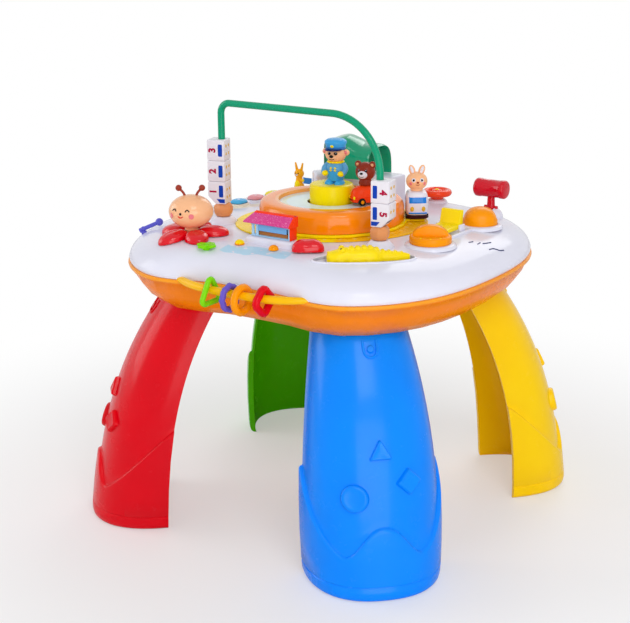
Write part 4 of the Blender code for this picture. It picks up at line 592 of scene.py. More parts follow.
tray = paint(smoothCopy("lower_shell"), "orangeCase")
dress(tray, "tray", "table", ["lower_shell"], 42)
lipRows = [rimLoop(share, seam + height) for share, height in
           ((1.0, -0.0004), (1.0085, -0.0009), (1.0105, -0.0026), (1.0085, -0.0044), (1.0, -0.0050))]
lip = paint(skin(lipRows, ring=True), "lip")
dress(lip, "trayLip", "table", (), 60)
print("tray done")


# Legs: a deep open shell that leans out, with a wavy sock, a band and three raised signs.

leg = {"top": 0.2617, "footRadius": 0.2077, "topRadius": 0.140, "halfWidth": 0.070, "footDepth": 0.081,
       "topDepth": 0.059, "bend": (0.08, 0.33, 0.59), "swell": (0.29, -0.565), "roundness": 0.85, "proud": 0.004,
       "sideHeight": 0.120, "peak": 0.078, "valley": 0.047, "band": 0.016, "wall": 0.003, "columns": 72,
       "sign": 0.0145, "signSpread": math.radians(20)}


def legPoint(height, swing, thin=0.0):
    rise = height / leg["top"]
    bend = sum(share * rise ** (power + 1) for power, share in enumerate(leg["bend"]))
    edge = leg["footRadius"] - (leg["footRadius"] - leg["topRadius"]) * bend
    half = leg["halfWidth"] * (1 + leg["swell"][0] * rise + leg["swell"][1] * rise ** 2) - thin
    depth = leg["footDepth"] + (leg["topDepth"] - leg["footDepth"]) * rise - thin
    forward = abs(math.cos(swing)) ** leg["roundness"]
    aside = bowed(math.sin(swing), leg["roundness"])
    return Vector((edge + depth * forward, half * aside, height))


def sockHeight(swing):
    share = abs(swing) / (math.pi / 2)
    if share < 1 / 3:
        return leg["peak"] + (leg["valley"] - leg["peak"]) * (1 - math.cos(math.pi * share * 3)) / 2
    return leg["valley"] + (leg["sideHeight"] - leg["valley"]) * ((share - 1 / 3) * 1.5) ** 1.3


def legLoop(height, thin):
    swings = [math.pi * (step / leg["columns"] - 0.5) for step in range(leg["columns"] + 1)]
    outside = [legPoint(height(swing), swing, thin) for swing in swings]
    inside = [legPoint(height(swing), swing, max(thin, 0) + leg["wall"]) for swing in swings]
    return outside + inside[::-1]


def signPlace(height, swing):
    spot = legPoint(height, swing)
    up = (legPoint(height + leg["sign"], swing) - spot).normalized()
    aside = (legPoint(height, swing + 0.03) - spot).normalized()
    out = aside.cross(up)
    return Matrix.Translation(spot) @ Matrix((aside, up, out)).transposed().to_4x4()


def softSign(sides, turn, size):
    # a raised sign with rounded corners and a pillowed top
    corners = [(size * math.cos(turn + math.tau * i / sides), size * math.sin(turn + math.tau * i / sides))
               for i in range(sides)]
    line = corners
    if sides < 10:
        line = []
        for index, corner in enumerate(corners):
            before, after = corners[index - 1], corners[(index + 1) % sides]
            for share in (0.16, 0.07):
                line.append(tuple(c + (b - c) * share for c, b in zip(corner, before)))
            for share in (0.07, 0.16):
                line.append(tuple(c + (b - c) * share for c, b in zip(corner, after)))
    rows = [[(x * share, y * share, height) for x, y in line] for share, height in
            ((1.06, -0.003), (1.0, 0.0002), (0.985, 0.0022), (0.93, 0.0038), (0.84, 0.0046), (0.70, 0.0043),
             (0.45, 0.0040), (0.1, 0.0040))]
    return skin(rows)


def makeLeg(name, node, angle, material):
    rows = [legLoop(lambda swing: 0.0, 0.0009), legLoop(lambda swing: 0.0012, -0.0012),
            legLoop(lambda swing: 0.0032, -0.0030), legLoop(lambda swing: 0.0065, -0.0038),
            legLoop(lambda swing: leg["band"] - 0.0012, -leg["proud"]),
            legLoop(lambda swing: leg["band"] - 0.0004, -leg["proud"] + 0.0009),
            legLoop(lambda swing: leg["band"] + 0.0006, -leg["proud"] + 0.0009),
            legLoop(lambda swing: leg["band"] + 0.0014, -leg["proud"])]
    for share in (0.35, 0.7):
        rows.append(legLoop(lambda swing, share=share: leg["band"]
                            + (sockHeight(swing) - 0.006 - leg["band"]) * share, -leg["proud"]))
    for drop, proud in ((0.0052, 0.0040), (0.0030, 0.0039), (0.0014, 0.0032), (0.0004, 0.0018), (0.0, 0.0004),
                        (-0.0012, 0.0)):
        rows.append(legLoop(lambda swing, drop=drop: sockHeight(swing) - drop, -proud))
    for step in range(1, 23):
        rows.append(legLoop(lambda swing, share=step / 22: sockHeight(swing) + 0.0012
                            + (leg["top"] - sockHeight(swing) - 0.0012) * share, 0.0))
    parts = [skin(rows)]
    for sides, height, swing, turn in ((3, 0.152, 0, math.pi / 2), (40, 0.108, -leg["signSpread"], 0),
                                       (4, 0.121, leg["signSpread"], 0)):
        parts.append(moved(softSign(sides, turn, leg["sign"]), signPlace(height, swing)))
    lidLine = [legPoint(leg["top"], math.pi * (i / 24 - 0.5), 0.0015) for i in range(25)]
    parts.append(plate([(spot.x, spot.y) for spot in lidLine], leg["top"] - 0.003, leg["top"] - 0.0002))
    parts.append(slab((0.150, -0.020, leg["top"] - 0.002), (0.160, 0.020, leg["top"] + 0.0087), 0.001))
    latch = signPlace(0.248, 0)
    yoke = smoothLine([(-0.0072, 0.010, 0), (-0.0072, 0.0, 0), (-0.0052, -0.0062, 0), (0, -0.0088, 0),
                       (0.0052, -0.0062, 0), (0.0072, 0.0, 0), (0.0072, 0.010, 0)], 5)
    parts.append(moved(pipe(yoke, 0.0015), latch))
    catch = lathe([(0, -0.002), (0.0040, -0.002), (0.0040, 0.0014), (0.0032, 0.0024), (0, 0.0024)], steps=32)
    parts.append(moved(catch, latch))
    piece = paint(joined(*parts), material)
    moved(piece, Matrix.Rotation(angle, 4, "Z"))
    dress(piece, name, "table", [node], 50)


for name, angle in (("red", 225), ("blue", 315), ("yellow", 45), ("green", 135)):
    makeLeg(name + "Leg", "leg_" + name, math.radians(angle),
            plastic(name + "Leg", finishes.get("leg" + name.title(), finishes[name]), rough=0.24, coat=0.08,
                    peel=0.04))
print("legs done")


# Turning middle: track, scalloped train ring, drum with its printed disc, and the press cap.

middle = {"trackLength": 0.224, "trackWidth": 0.194, "trackTurn": math.radians(33), "trackTop": 0.3380,
          "ringRadius": 0.0875, "scallop": 0.0012, "scallops": 26, "ringTop": 0.3413, "bore": 0.036,
          "foot": 0.3383, "drumRadius": 0.084, "drumTop": 0.366, "rim": 0.061, "floor": 0.357, "hub": 0.029,
          "post": 0.008, "discTop": 0.362, "capRadius": 0.0255, "capTop": 0.383, "wall": 0.003,
          "trainAngle": math.radians(37), "trainPath": 0.0988}
toys = {"facing": math.radians(12), "driver": (0.004, 0.003, middle["capTop"] + 0.0001), "breadth": 1.18,
        "car": (0.0425, 0.006), "carTurn": math.radians(60), "carGround": middle["discTop"] + 0.0003,
        "carRoof": middle["discTop"] + 0.0231}


def trackPrint(place, tone):
    # amber on the side of the train, and pale sleepers of a printed railway
    x, y = place.axes()[:2]
    amber = (x + y * 0.3).ease(0.030, 0.036)
    tone = mixed(amber, tone, colour("FFC010"))
    reach = reachOf(place)
    turn = y.math("ARCTAN2", y, x)
    sleepers = (turn * 34.0).sine().ease(0.75, 0.85)
    band = reach.ease(0.0895, 0.0900) * (1 - reach.ease(0.0935, 0.0940))
    return mixed(sleepers * band * 0.45, tone, colour("FFF4B0"))


def discPrint(place, tone):
    # a pale ground with a faint yellow lane
    reach = reachOf(place)
    lane = reach.ease(0.0515, 0.0530) * (1 - reach.ease(0.0565, 0.0580))
    return mixed(lane * 0.35, tone, colour("F4E878"))


def drumPrint(place, tone):
    return mixed((1 - reachOf(place).ease(0.0645, 0.0660)) * 0.8, tone, colour("FFB060"))


trackLoops = []
for swell, height in ((0.0, 0.3363), (0.0, 0.3376), (-0.0008, middle["trackTop"])):
    edge = oval(middle["trackLength"] + swell, middle["trackWidth"] + swell, 200, middle["trackTurn"])
    trackLoops.append([(x, y, height) for x, y in edge])
trackLoops += [circleLoop(middle["bore"], middle["trackTop"]), circleLoop(middle["bore"], 0.3363)]
turned = Matrix.Rotation(middle["trackTurn"], 4, "Z")
for row in (3, 4):
    trackLoops[row] = [tuple(turned @ Vector(point)) for point in trackLoops[row]]
track = skin(trackLoops, ring=True)
cutOut(track, *[rod((side * arch["half"], arch["y"], 0.33), (side * arch["half"], arch["y"], 0.345),
                    arch["socketRadius"] + 0.0004) for side in (-1, 1)])
dress(paint(track, plastic("trackYellow", finishes["yellow"], prints=trackPrint)), "trackPlate", "table",
      ["track_plate"], 40)

trainMatrix = Matrix.Rotation(middle["trainAngle"], 4, "Z") @ Matrix.Translation((middle["trainPath"], 0, 0))
scallopRows = []
for inset, height in ((0.0006, middle["foot"]), (0.0, 0.3388), (0.0, 0.3406), (0.0008, middle["ringTop"])):
    row = []
    for step in range(416):
        angle = math.tau * step / 416
        dip = 1 - abs(math.cos(middle["scallops"] / 2 * angle))
        reach = middle["ringRadius"] - inset - middle["scallop"] * dip
        row.append((reach * math.cos(angle), reach * math.sin(angle), height))
    scallopRows.append(row)
scallopRows += [circleLoop(middle["bore"], middle["ringTop"], 416), circleLoop(middle["bore"], middle["foot"], 416)]
ringPiece = skin(scallopRows, ring=True)
arm = moved(slab((-0.020, -0.010, middle["foot"]), (0.0088, 0.010, 0.3410), 0.0008), trainMatrix)
dress(paint(joined(ringPiece, arm), "yellow"), "trainRing", "train", ["train_ring"], 40)

wall = middle["wall"]
outside = smoothLine([(0.0752, 0.3659), (0.0795, 0.3650), (0.0825, 0.3622), (middle["drumRadius"], 0.3575)], 5)
drumProfile = [(middle["post"], middle["capTop"] - 3 * wall), (middle["post"], middle["floor"]),
               (middle["rim"], middle["floor"]), (middle["rim"], 0.3645), (0.0616, 0.3657),
               (0.0630, middle["drumTop"])] + outside
drumProfile += [(middle["drumRadius"], 0.3420), (middle["drumRadius"] - 0.0004, 0.3416), (0.0810, 0.3416),
                (0.0810, 0.3570), (0.0750, 0.3600), (0.0640, 0.3540), (middle["hub"], 0.3540),
                (middle["hub"], 0.3315), (middle["hub"] - wall, 0.3315), (middle["hub"] - wall, 0.3540),
                (0.0, 0.3540)]
drumPiece = lathe([(0.0, middle["capTop"] - 3 * wall)] + drumProfile, steps=144)
dress(paint(drumPiece, plastic("drumOrange", finishes["drum"], rough=0.16, coat=0.4, prints=drumPrint)),
      "drumShell", "drum", ["drum"], 40)
disc = lathe([(0.0283, middle["discTop"]), (0.0604, middle["discTop"]), (0.0607, middle["discTop"] - 0.0003),
              (0.0607, 0.3573), (0.0577, 0.3573), (0.0577, 0.3604), (0.0283, 0.3604)], steps=128, ring=True)
dress(paint(disc, plastic("discPale", "E0F4FF", rough=0.12, prints=discPrint)), "drumPicture", "drum",
      ["drum_disc"], 40)
r, top = middle["capRadius"], middle["capTop"]
capProfile = [(0.0083, top - 0.0027), (0.0083, top - 0.0002), (0.0110, top), (r - 0.0034, top),
              (r - 0.0016, top - 0.0004), (r - 0.0005, top - 0.0014), (r, top - 0.0032), (r, 0.3606),
              (r - 0.0006, 0.3603), (r - wall, 0.3603), (r - wall, top - wall), (0.0098, top - wall),
              (0.0098, 0.3633), (0.0083, 0.3633)]
capPiece = lathe(capProfile, steps=96, ring=True)
lid = lathe([(0, top - 0.0022), (0.0086, top - 0.0022), (0.0086, top - 0.0001), (0, top - 0.0001)], steps=48)
dress(paint(joined(capPiece, lid), "capYellow"), "pressCap", "cap", ["centre_cap"], 40)
print("turning middle done")


# Figures: a driver in a peaked cap on the press cap, a bear in its car, a rabbit on its train.

def spotOn(centre, radii, turn, azimuth, height, lift=0.0):
    # a point on an ellipsoid seen from a compass side: azimuth 0 is -Y, 90 is +X
    away = Vector((math.sin(azimuth) * math.cos(height), -math.cos(azimuth) * math.cos(height), math.sin(height)))
    local = Matrix.Rotation(-turn, 3, "Z") @ away
    reach = 1 / math.sqrt(sum((part / radius) ** 2 for part, radius in zip(local, radii)))
    return Vector(centre) + away * (reach + lift)


def dot(spot, centre, size, material, flat=0.35):
    # a button, eye or cheek: a flattened ball lying on the surface round centre
    piece = ball((0, 0, 0), (size, size, size * flat), segments=20, rings=10)
    out = (Vector(spot) - Vector(centre)).normalized()
    moved(piece, Matrix.Translation(spot) @ out.to_track_quat("Z", "Y").to_matrix().to_4x4())
    return paint(piece, material)


def smile(centre, radii, turn, azimuth, height, spread, sag, width, material):
    line = []
    for step in range(11):
        share = step / 5 - 1
        line.append(spotOn(centre, radii, turn, azimuth + share * spread, height - sag * (1 - share * share),
                           width * 0.4))
    return paint(pipe(line, width, fineness=3), material)


def makeDriver():
    s = 0.0105
    parts = []
    head, headRadii = (0, 0, s * 3.25), (s, s * 0.92, s * 0.95)
    body, bodyRadii = (0, 0, s * 1.55), (s * 0.92, s * 0.78, s * 1.15)
    parts.append(paint(ball(body, bodyRadii), "suit"))
    trousers = [(0, s * 0.3), (s * 0.72, s * 0.35), (s * 0.86, s * 0.9), (s * 0.9, s * 1.4), (0, s * 1.5)]
    parts.append(paint(lathe(trousers, steps=48), "capBlue"))
    for side in (-1, 1):
        parts.append(paint(dome((side * s * 0.48, -s * 0.28, 0), (s * 0.46, s * 0.72, s * 0.52)), "capBlue"))
        armLine = smoothLine([(side * s * 0.70, 0, s * 2.15), (side * s * 1.02, -s * 0.15, s * 1.75),
                              (side * s * 0.98, -s * 0.50, s * 1.30), (side * s * 0.78, -s * 0.72, s * 1.20)], 5)
        parts.append(paint(pipe(armLine, s * 0.27), "suit"))
        parts.append(paint(ball(armLine[-1], s * 0.31, segments=20, rings=12), "capYellow"))
        parts.append(paint(ball((side * s * 0.98, s * 0.05, s * 3.45), (s * 0.36, s * 0.22, s * 0.36)), "peach"))
        parts.append(paint(ball((side * s * 1.0, -s * 0.10, s * 3.45), (s * 0.2, s * 0.12, s * 0.2), segments=20),
                           "cheek"))
        parts.append(dot(spotOn(head, headRadii, 0, side * 0.36, 0.18), head, s * 0.17, "black"))
        # a small white dot high on each eye is a painted glint
        parts.append(dot(spotOn(head, headRadii, 0, side * 0.38, 0.27, s * 0.05), head, s * 0.045, "white"))
        for row in range(3):
            parts.append(dot(spotOn(body, bodyRadii, 0, side * 0.28, 0.30 - row * 0.33), body, s * 0.11,
                             "capYellow", 0.6))
    for step in range(12):
        angle = math.tau * step / 12
        parts.append(paint(ball((s * 0.62 * math.cos(angle), s * 0.58 * math.sin(angle), s * 2.38),
                                (s * 0.22, s * 0.22, s * 0.13), segments=16, rings=8), "capYellow"))
    parts.append(paint(ball(head, headRadii), "peach"))
    parts.append(paint(ball((0, -s * 0.80, s * 3.0), (s * 0.45, s * 0.35, s * 0.33)), "peach"))
    parts.append(paint(ball((0, -s * 1.14, s * 3.14), (s * 0.20, s * 0.15, s * 0.16), segments=20), "black"))
    muzzle = (0, -s * 0.80, s * 3.0)
    parts.append(smile(muzzle, (s * 0.45, s * 0.35, s * 0.33), 0, 0, -0.35, 0.7, 0.25, s * 0.035, "black"))
    hat = [(0, s * 3.72), (s * 0.86, s * 3.74), (s * 0.90, s * 4.0), (s * 0.93, s * 4.15), (s * 1.04, s * 4.5),
           (s * 1.02, s * 4.68), (s * 0.80, s * 4.88), (s * 0.4, s * 4.95), (0, s * 4.95)]
    parts.append(paint(rounded(lathe(hat, steps=48), s * 0.05), "capBlue"))
    band = lathe([(s * 0.88, s * 3.76), (s * 0.93, s * 3.80), (s * 0.955, s * 4.08), (s * 0.90, s * 4.12)],
                 steps=48, ring=True)
    parts.append(paint(band, "plainBlue"))
    front = [(s * 0.82 * math.cos(a), -s * 0.62 - s * 0.80 * math.sin(a))
             for a in [math.pi * i / 12 for i in range(13)]]
    peak = [(0, -s * 0.05), (s * 0.80, -s * 0.25)] + front + [(-s * 0.80, -s * 0.25)]
    parts.append(paint(plate(peak, s * 3.76, s * 3.90, s * 0.05), "navy"))
    parts.append(paint(ball((0, -s * 0.95, s * 4.22), (s * 0.17, s * 0.08, s * 0.17), segments=20), "capYellow"))
    broad = Matrix.Diagonal((toys["breadth"], toys["breadth"], 1, 1))
    figure = moved(joined(*parts), turnAbout(toys["facing"], *toys["driver"]) @ broad)
    dress(figure, "driverFigure", "cap", ["driver"], 60)


def makeCar():
    long, wide = 0.018, 0.011
    rows = [softLoop(long * share, wide * share, 0.8, height, 56) for share, height in
            ((0.90, 0.0034), (1.0, 0.0048), (1.0, 0.0088), (0.96, 0.0130), (0.84, 0.0175), (0.62, 0.0208),
             (0.34, 0.0222), (0.05, 0.0225))]
    parts = [paint(skin(rows), "wheelRed")]
    belt = pipe([(x * 1.005, y * 1.005, 0.0098) for x, y, z in rows[2]], 0.0006, True, 3)
    parts.append(paint(belt, "roofEnd"))
    for along in (-0.009, 0.009):
        for side in (-1, 1):
            for near, far, radius, edge, finish in ((0.0072, 0.0110, 0.0044, 0.0006, "black"),
                                                    (0.0106, 0.0114, 0.0021, 0.0003, "orange")):
                axle = rod((along, side * near, 0.0046), (along, side * far, 0.0046), radius)
                parts.append(paint(rounded(axle, edge), finish))
    for side in (-1, 1):
        parts.append(paint(ball((-0.0168, side * 0.0052, 0.0092), (0.0012, 0.0019, 0.0019), segments=20),
                           "capYellow"))
    parts.append(paint(pipe([(-0.0181, y / 1000, 0.0066) for y in (-3, -1, 1, 3)], 0.0005, False, 3), "black"))
    car = moved(joined(*parts), turnAbout(toys["carTurn"], *toys["car"], toys["carGround"]))
    dress(car, "bearCar", "drum", ["car"], 45)


def makeBear():
    s = 0.0115
    head, headRadii = (0, 0, s * 1.3), (s, s * 0.92, s * 0.95)
    parts = [paint(lathe([(0, 0), (s * 0.62, 0), (s * 0.66, s * 0.2), (s * 0.55, s * 0.6), (0, s * 0.7)], steps=40),
                   "bear"), paint(ball(head, headRadii), "bear")]
    for side in (-1, 1):
        parts.append(paint(ball((side * s * 0.75, 0, s * 2.0), (s * 0.35, s * 0.23, s * 0.35)), "bear"))
        parts.append(paint(ball((side * s * 0.76, -s * 0.13, s * 2.0), (s * 0.2, s * 0.13, s * 0.2), segments=20),
                           "tan"))
        parts.append(dot(spotOn(head, headRadii, 0, side * 0.42, 0.22), head, s * 0.13, "black"))
        # a small white dot high on each eye is a painted glint
        parts.append(dot(spotOn(head, headRadii, 0, side * 0.40, 0.28, s * 0.04), head, s * 0.04, "white"))
    parts.append(paint(ball((0, -s * 0.80, s * 1.1), (s * 0.50, s * 0.38, s * 0.40)), "block"))
    parts.append(paint(ball((0, -s * 1.12, s * 1.26), (s * 0.17, s * 0.12, s * 0.12), segments=20), "black"))
    parts.append(smile((0, -s * 0.80, s * 1.1), (s * 0.46, s * 0.36, s * 0.36), 0, 0, -0.3, 0.7, 0.25, s * 0.03,
                       "black"))
    bear = moved(joined(*parts), turnAbout(toys["facing"], *toys["car"], toys["carRoof"]))
    dress(bear, "carBear", "drum", ["car_bear"], 60)


train = {"wide": 0.01325, "long": 0.015, "chassis": 0.3416, "body": 0.3463, "bumper": 0.3488, "lamps": 0.3538,
         "rabbit": 0.3733}


def trainPrint(place, tone):
    # the windscreen goes round the front; the pattern is turned and centred on the train
    spot = place.node("ShaderNodeMapping", {}, {"Vector": place, "Rotation": (0, 0, -middle["trainAngle"]),
                                                "Location": (-middle["trainPath"], 0, 0)})
    x, y, z = spot.axes()
    across = 1 - abs(x).ease(0.0098, 0.0102)
    height = z.ease(0.3602, 0.3605) * (1 - z.ease(0.3672, 0.3675))
    front = (0 - y).ease(0.004, 0.0045)
    side = (1 - abs(y - 0.001).ease(0.0060, 0.0063)) * height
    return mixed(front * across * height + side * (1 - front), tone, colour(finishes["trainBlue"]))


def makeTrain():
    wide, long = train["wide"], train["long"]

    def row(share, height, power=0.5):
        return softLoop(wide * share, long * share, power, height, 72)

    low = train["chassis"]
    chassis = skin([row(0.90, low), row(0.97, low + 0.0008), row(0.98, low + 0.0038), row(0.94, low + 0.0044)])
    parts = [paint(chassis, "maroon")]
    for x in (-wide + 0.0010, wide - 0.0010):
        for y in (-0.0075, 0.0075):
            disc = rod((x - 0.0008, y, low + 0.0028), (x + 0.0008, y, low + 0.0028), 0.0026)
            parts.append(paint(rounded(disc, 0.0004), "black"))
    dress(moved(joined(*parts), trainMatrix), "trainChassis", "train", ["train_chassis"], 40)
    low = train["body"]
    body = skin([row(0.90, low), row(0.955, low + 0.0010), row(0.985, low + 0.0040), row(1.0, low + 0.0090),
                 row(0.985, low + 0.0150), row(0.95, low + 0.0200), row(0.90, low + 0.0235, 0.55),
                 row(0.80, low + 0.0257, 0.6), row(0.62, low + 0.0266, 0.7), row(0.1, low + 0.0267, 0.9)])
    parts = [paint(body, plastic("trainWhite", finishes["white"], rough=0.15, coat=0.4, drift=0.02,
                                 prints=trainPrint))]
    for side in (-1, 1):
        lamp = ball((side * 0.0066, -long * 0.985, train["lamps"]), (0.0022, 0.0010, 0.0030), segments=24)
        parts.append(paint(lamp, "spot"))
    bumper = [(x, -long * share, train["bumper"])
              for x, share in ((-0.0105, 0.93), (-0.006, 1.0), (0.006, 1.0), (0.0105, 0.93))]
    parts.append(paint(pipe(smoothLine(bumper, 6), 0.0008, fineness=4), "trainBlue"))
    dress(moved(joined(*parts), trainMatrix), "trainBody", "train", ["train_body"], 60)


def makeRabbit():
    s, neck = 0.0122, train["rabbit"]
    centre, radii = (0, 0, neck + s * 0.88), (s * 1.02, s, s * 0.88)
    parts = [paint(lathe([(0, neck), (s * 0.55, neck), (s * 0.6, neck + s * 0.12), (s * 0.45, neck + s * 0.5),
                          (0, neck + s * 0.6)], steps=40), "peach"), paint(ball(centre, radii), "peach")]
    top = deckTop + 0.067
    ear = (top - centre[2] - s * 0.5) / 2
    for side in (-1, 1):
        lean = Matrix.Translation((side * s * 0.46, 0, top - ear)) @ Matrix.Rotation(side * 0.32, 4, "Y")
        parts.append(paint(moved(ball((0, 0, 0), (s * 0.30, s * 0.17, ear)), lean), "peach"))
        inner = ball((0, -s * 0.09, ear * 0.05), (s * 0.17, s * 0.11, ear * 0.74), segments=24)
        parts.append(paint(moved(inner, lean), "white"))
        parts.append(dot(spotOn(centre, radii, 0, side * 0.42, 0.22), centre, s * 0.21, "white"))
        parts.append(dot(spotOn(centre, radii, 0, side * 0.40, 0.22, s * 0.03), centre, s * 0.145, "black"))
        parts.append(dot(spotOn(centre, radii, 0, side * 0.72, -0.12), centre, s * 0.16, "cheek", 0.2))
    parts.append(paint(ball((0, -s * 1.02, centre[2] + s * 0.02), (s * 0.13, s * 0.09, s * 0.09), segments=20),
                       "brown"))
    parts.append(smile(centre, radii, 0, 0, -0.18, 0.18, 0.06, s * 0.03, "brown"))
    dress(moved(joined(*parts), trainMatrix), "rabbitFigure", "train", ["rabbit"], 60)


makeDriver()
makeCar()
makeBear()
makeTrain()
makeRabbit()
print("figures done")


# Tunnel hill and bead arch.

hill = {"start": math.radians(92), "end": math.radians(128), "inner": 0.0805, "outer": 0.141, "top": 0.421,
        "foot": deckTop + bank["rise"] + 0.0003, "fullness": 0.6, "wall": 0.003,
        "shares": (0.78, 0.88, 0.97, 1.0, 0.92, 0.82, 0.80, 0.78)}
hillLine = [share for share, in smoothLine([(share,) for share in hill["shares"]], 5)]
hillLoops = []
for step, share in enumerate(hillLine):
    angle = hill["end"] + (hill["start"] - hill["end"]) * step / (len(hillLine) - 1)
    edge = min(step, len(hillLine) - 1 - step)
    soft = (0.0016, 0.0005, 0.0)[min(edge, 2)]
    away = Vector((math.cos(angle), math.sin(angle), 0))
    loop = []
    for thin, order in ((soft, range(41)), (hill["wall"] - soft, range(40, -1, -1))):
        half = (hill["outer"] - hill["inner"]) / 2 - thin
        rise = (hill["top"] - hill["foot"]) * share - thin
        for spot in order:
            lean = math.pi * spot / 40
            along = -bowed(math.cos(lean), hill["fullness"])
            lift = abs(math.sin(lean)) ** hill["fullness"]
            loop.append(away * ((hill["inner"] + hill["outer"]) / 2 + half * along)
                        + Vector((0, 0, hill["foot"] + rise * lift)))
    hillLoops.append(loop)
dress(paint(skin(hillLoops), plastic("tunnelGreen", finishes["seaGreen"], rough=0.14, coat=0.5)),
      "tunnelHill", "table", ["tunnel"], 60)

archTop = deckTop + arch["rise"]
archLine = [(-arch["half"], arch["y"], 0.3315)]
for step in range(13):
    angle = math.pi / 2 * step / 12
    archLine.append((-arch["half"] + arch["leftBend"] * (1 - math.cos(angle)), arch["y"],
                     archTop - arch["leftBend"] * (1 - math.sin(angle))))
for step in range(25):
    angle = math.pi / 2 * (1 - step / 24)
    archLine.append((arch["half"] - arch["rightBend"] * (1 - math.cos(angle)), arch["y"],
                     archTop - arch["rightBend"] * (1 - math.sin(angle))))
archLine.append((arch["half"], arch["y"], 0.3315))
archGreen = plastic("archGreen", finishes["seaGreen"], rough=0.25, coat=0.2)
dress(paint(pipe(archLine, arch["tube"], fineness=8), archGreen), "beadArch", "table", ["arch_tube"], 60)


bore = arch["tube"] + 0.0005
bead = {"low": deckTop + arch["socketHeight"] + 0.0003, "tall": 0.0155, "wide": 0.0115}
block = {"size": 0.021, "offset": 0.004, "noseTall": 0.026, "tall": 0.024, "gap": 0.0003}


def makeHexBead(name, node, side):
    low, tall, wide = bead["low"], bead["tall"], bead["wide"]
    x, y = side * arch["half"], arch["y"]

    def hexRow(radius, height):
        row = []
        for step in range(60):
            angle = math.tau * step / 60
            corner = (angle + math.radians(9)) % (math.pi / 3) - math.pi / 6
            reach = radius * (math.cos(math.pi / 6) / math.cos(corner)) ** 0.92
            row.append((x + reach * math.cos(angle), y + reach * math.sin(angle), height))
        return row

    rows = [hexRow(wide * share, low + tall * rise) for share, rise in
            ((0.62, 0.0), (0.76, 0.03), (0.93, 0.22), (1.0, 0.42), (1.0, 0.58), (0.93, 0.78), (0.76, 0.97),
             (0.62, 1.0))]
    rows += [circleLoop(bore, height, 60, x, y) for height in (low + tall, low)]
    dress(paint(skin(rows, ring=True), "beadTan"), name, node, [node], 32)


def makeBlock(name, node, side, low, nose, numeral):
    # a carriage of the bead train: window stripe, numeral lying on its side, dots round the corner
    offset, tall = block["offset"], block["noseTall" if nose else "tall"]
    half, high, slant, edge = block["size"] / 2, low + tall, 0.009 if nose else 0.0012, 0.0009
    outline = [(-half, low), (half - slant, low), (half, low + slant), (half, high - edge), (half - edge, high),
               (-half + edge, high), (-half, high - edge)]
    body = skin([[(side * (across + offset), ahead, height) for across, height in outline]
                 for ahead in (-half, half)])
    rounded(body, 0.0011, 3, 25)
    cutOut(body, rod((0, 0, low - 0.004), (0, 0, high + 0.004), bore))
    parts = [paint(body, "block")]
    front = -half - 0.00012
    stripe = side * (-half + offset + 0.0050)
    middleHeight = low + tall / 2 + (0.0020 if nose else 0)
    panel = [(stripe + 0.0026 * bowed(math.cos(a), 0.35), middleHeight + 0.0070 * bowed(math.sin(a), 0.18))
             for a in [math.tau * i / 40 for i in range(40)]]
    parts.append(paint(skin([[(x, y, z) for x, z in panel] for y in (front + 0.0008, front)]), "windowBlue"))
    if nose:
        inner = -half + offset + 0.0006
        wedge = [(inner, 0.0060), (inner + 0.0102, 0.0060), (inner + 0.0062, 0.0014), (inner, 0.0014)]
        parts.append(paint(skin([[(side * across, y, low + height) for across, height in wedge]
                                 for y in (front + 0.0008, front)]), "windowBlue"))
    deselectAll()
    bpy.ops.object.text_add()
    text = newest()
    text.data.body = numeral
    text.data.size = 0.0112
    text.data.extrude = 0.0002
    text.data.offset = 0.0005
    text.data.align_x = "CENTER"
    text.data.align_y = "CENTER"
    pick(text)
    bpy.ops.object.convert(target="MESH")
    sign = closeUp(newest())
    spot = (side * (half + offset - 0.0066), -half, low + tall / 2 + (0.0015 if nose else 0))
    moved(sign, Matrix.Translation(spot)
          @ Matrix.Rotation(math.pi / 2, 4, "X") @ Matrix.Rotation(-side * math.pi / 2, 4, "Z"))
    parts.append(paint(sign, "numeral"))
    right = half + side * offset
    for ahead, height in ((-0.004, 0.0075), (0.004, 0.0075), (-0.004, 0.0165), (0.004, 0.0165)):
        if side < 0 or not nose or height > 0.01:
            spot = Vector((right, ahead, low + height))
            parts.append(dot(spot, spot - Vector((1, 0, 0)), 0.0019, "spot", 0.12))
    if nose:
        pane = [(-0.0055, -0.0022), (0.0055, -0.0022), (0.0072, 0.0026), (-0.0072, 0.0026)]
        window = plate(pane, -0.0002, 0.0002)
        lean = Matrix.Translation((side * (half - slant / 2 + offset), 0, low + slant / 2)) @ Matrix.Rotation(
            side * math.radians(135), 4, "Y") @ Matrix.Rotation(math.pi / 2, 4, "Z")
        parts.append(paint(moved(window, lean), "navy"))
    turn = math.radians(17.6 if side < 0 else 9)
    piece = moved(joined(*parts), turnAbout(turn, side * arch["half"], arch["y"]))
    dress(piece, name, node, [node], 35)


makeHexBead("hexBeadLeft", "hex_bead_left", -1)
makeHexBead("hexBeadRight", "hex_bead_right", 1)
first = bead["low"] + bead["tall"] + block["gap"]
second = first + block["noseTall"] + block["gap"]
third = second + block["tall"] + block["gap"]
for index, (side, low, nose) in enumerate(((-1, first, True), (-1, second, False), (-1, third, False),
                                           (1, second, False), (1, first, True)), 1):
    makeBlock("block" + str(index), "block_" + str(index), side, low, nose, str(index))
print("arch done")


# Station: an open hall with columns, a bench, a bare name board and a hipped roof.

def roofPrint(place, tone):
    specks = noise(place, 900.0, 1.0).ease(0.60, 0.66)
    return mixed(specks * 0.55, tone, colour("F8B0D8"))


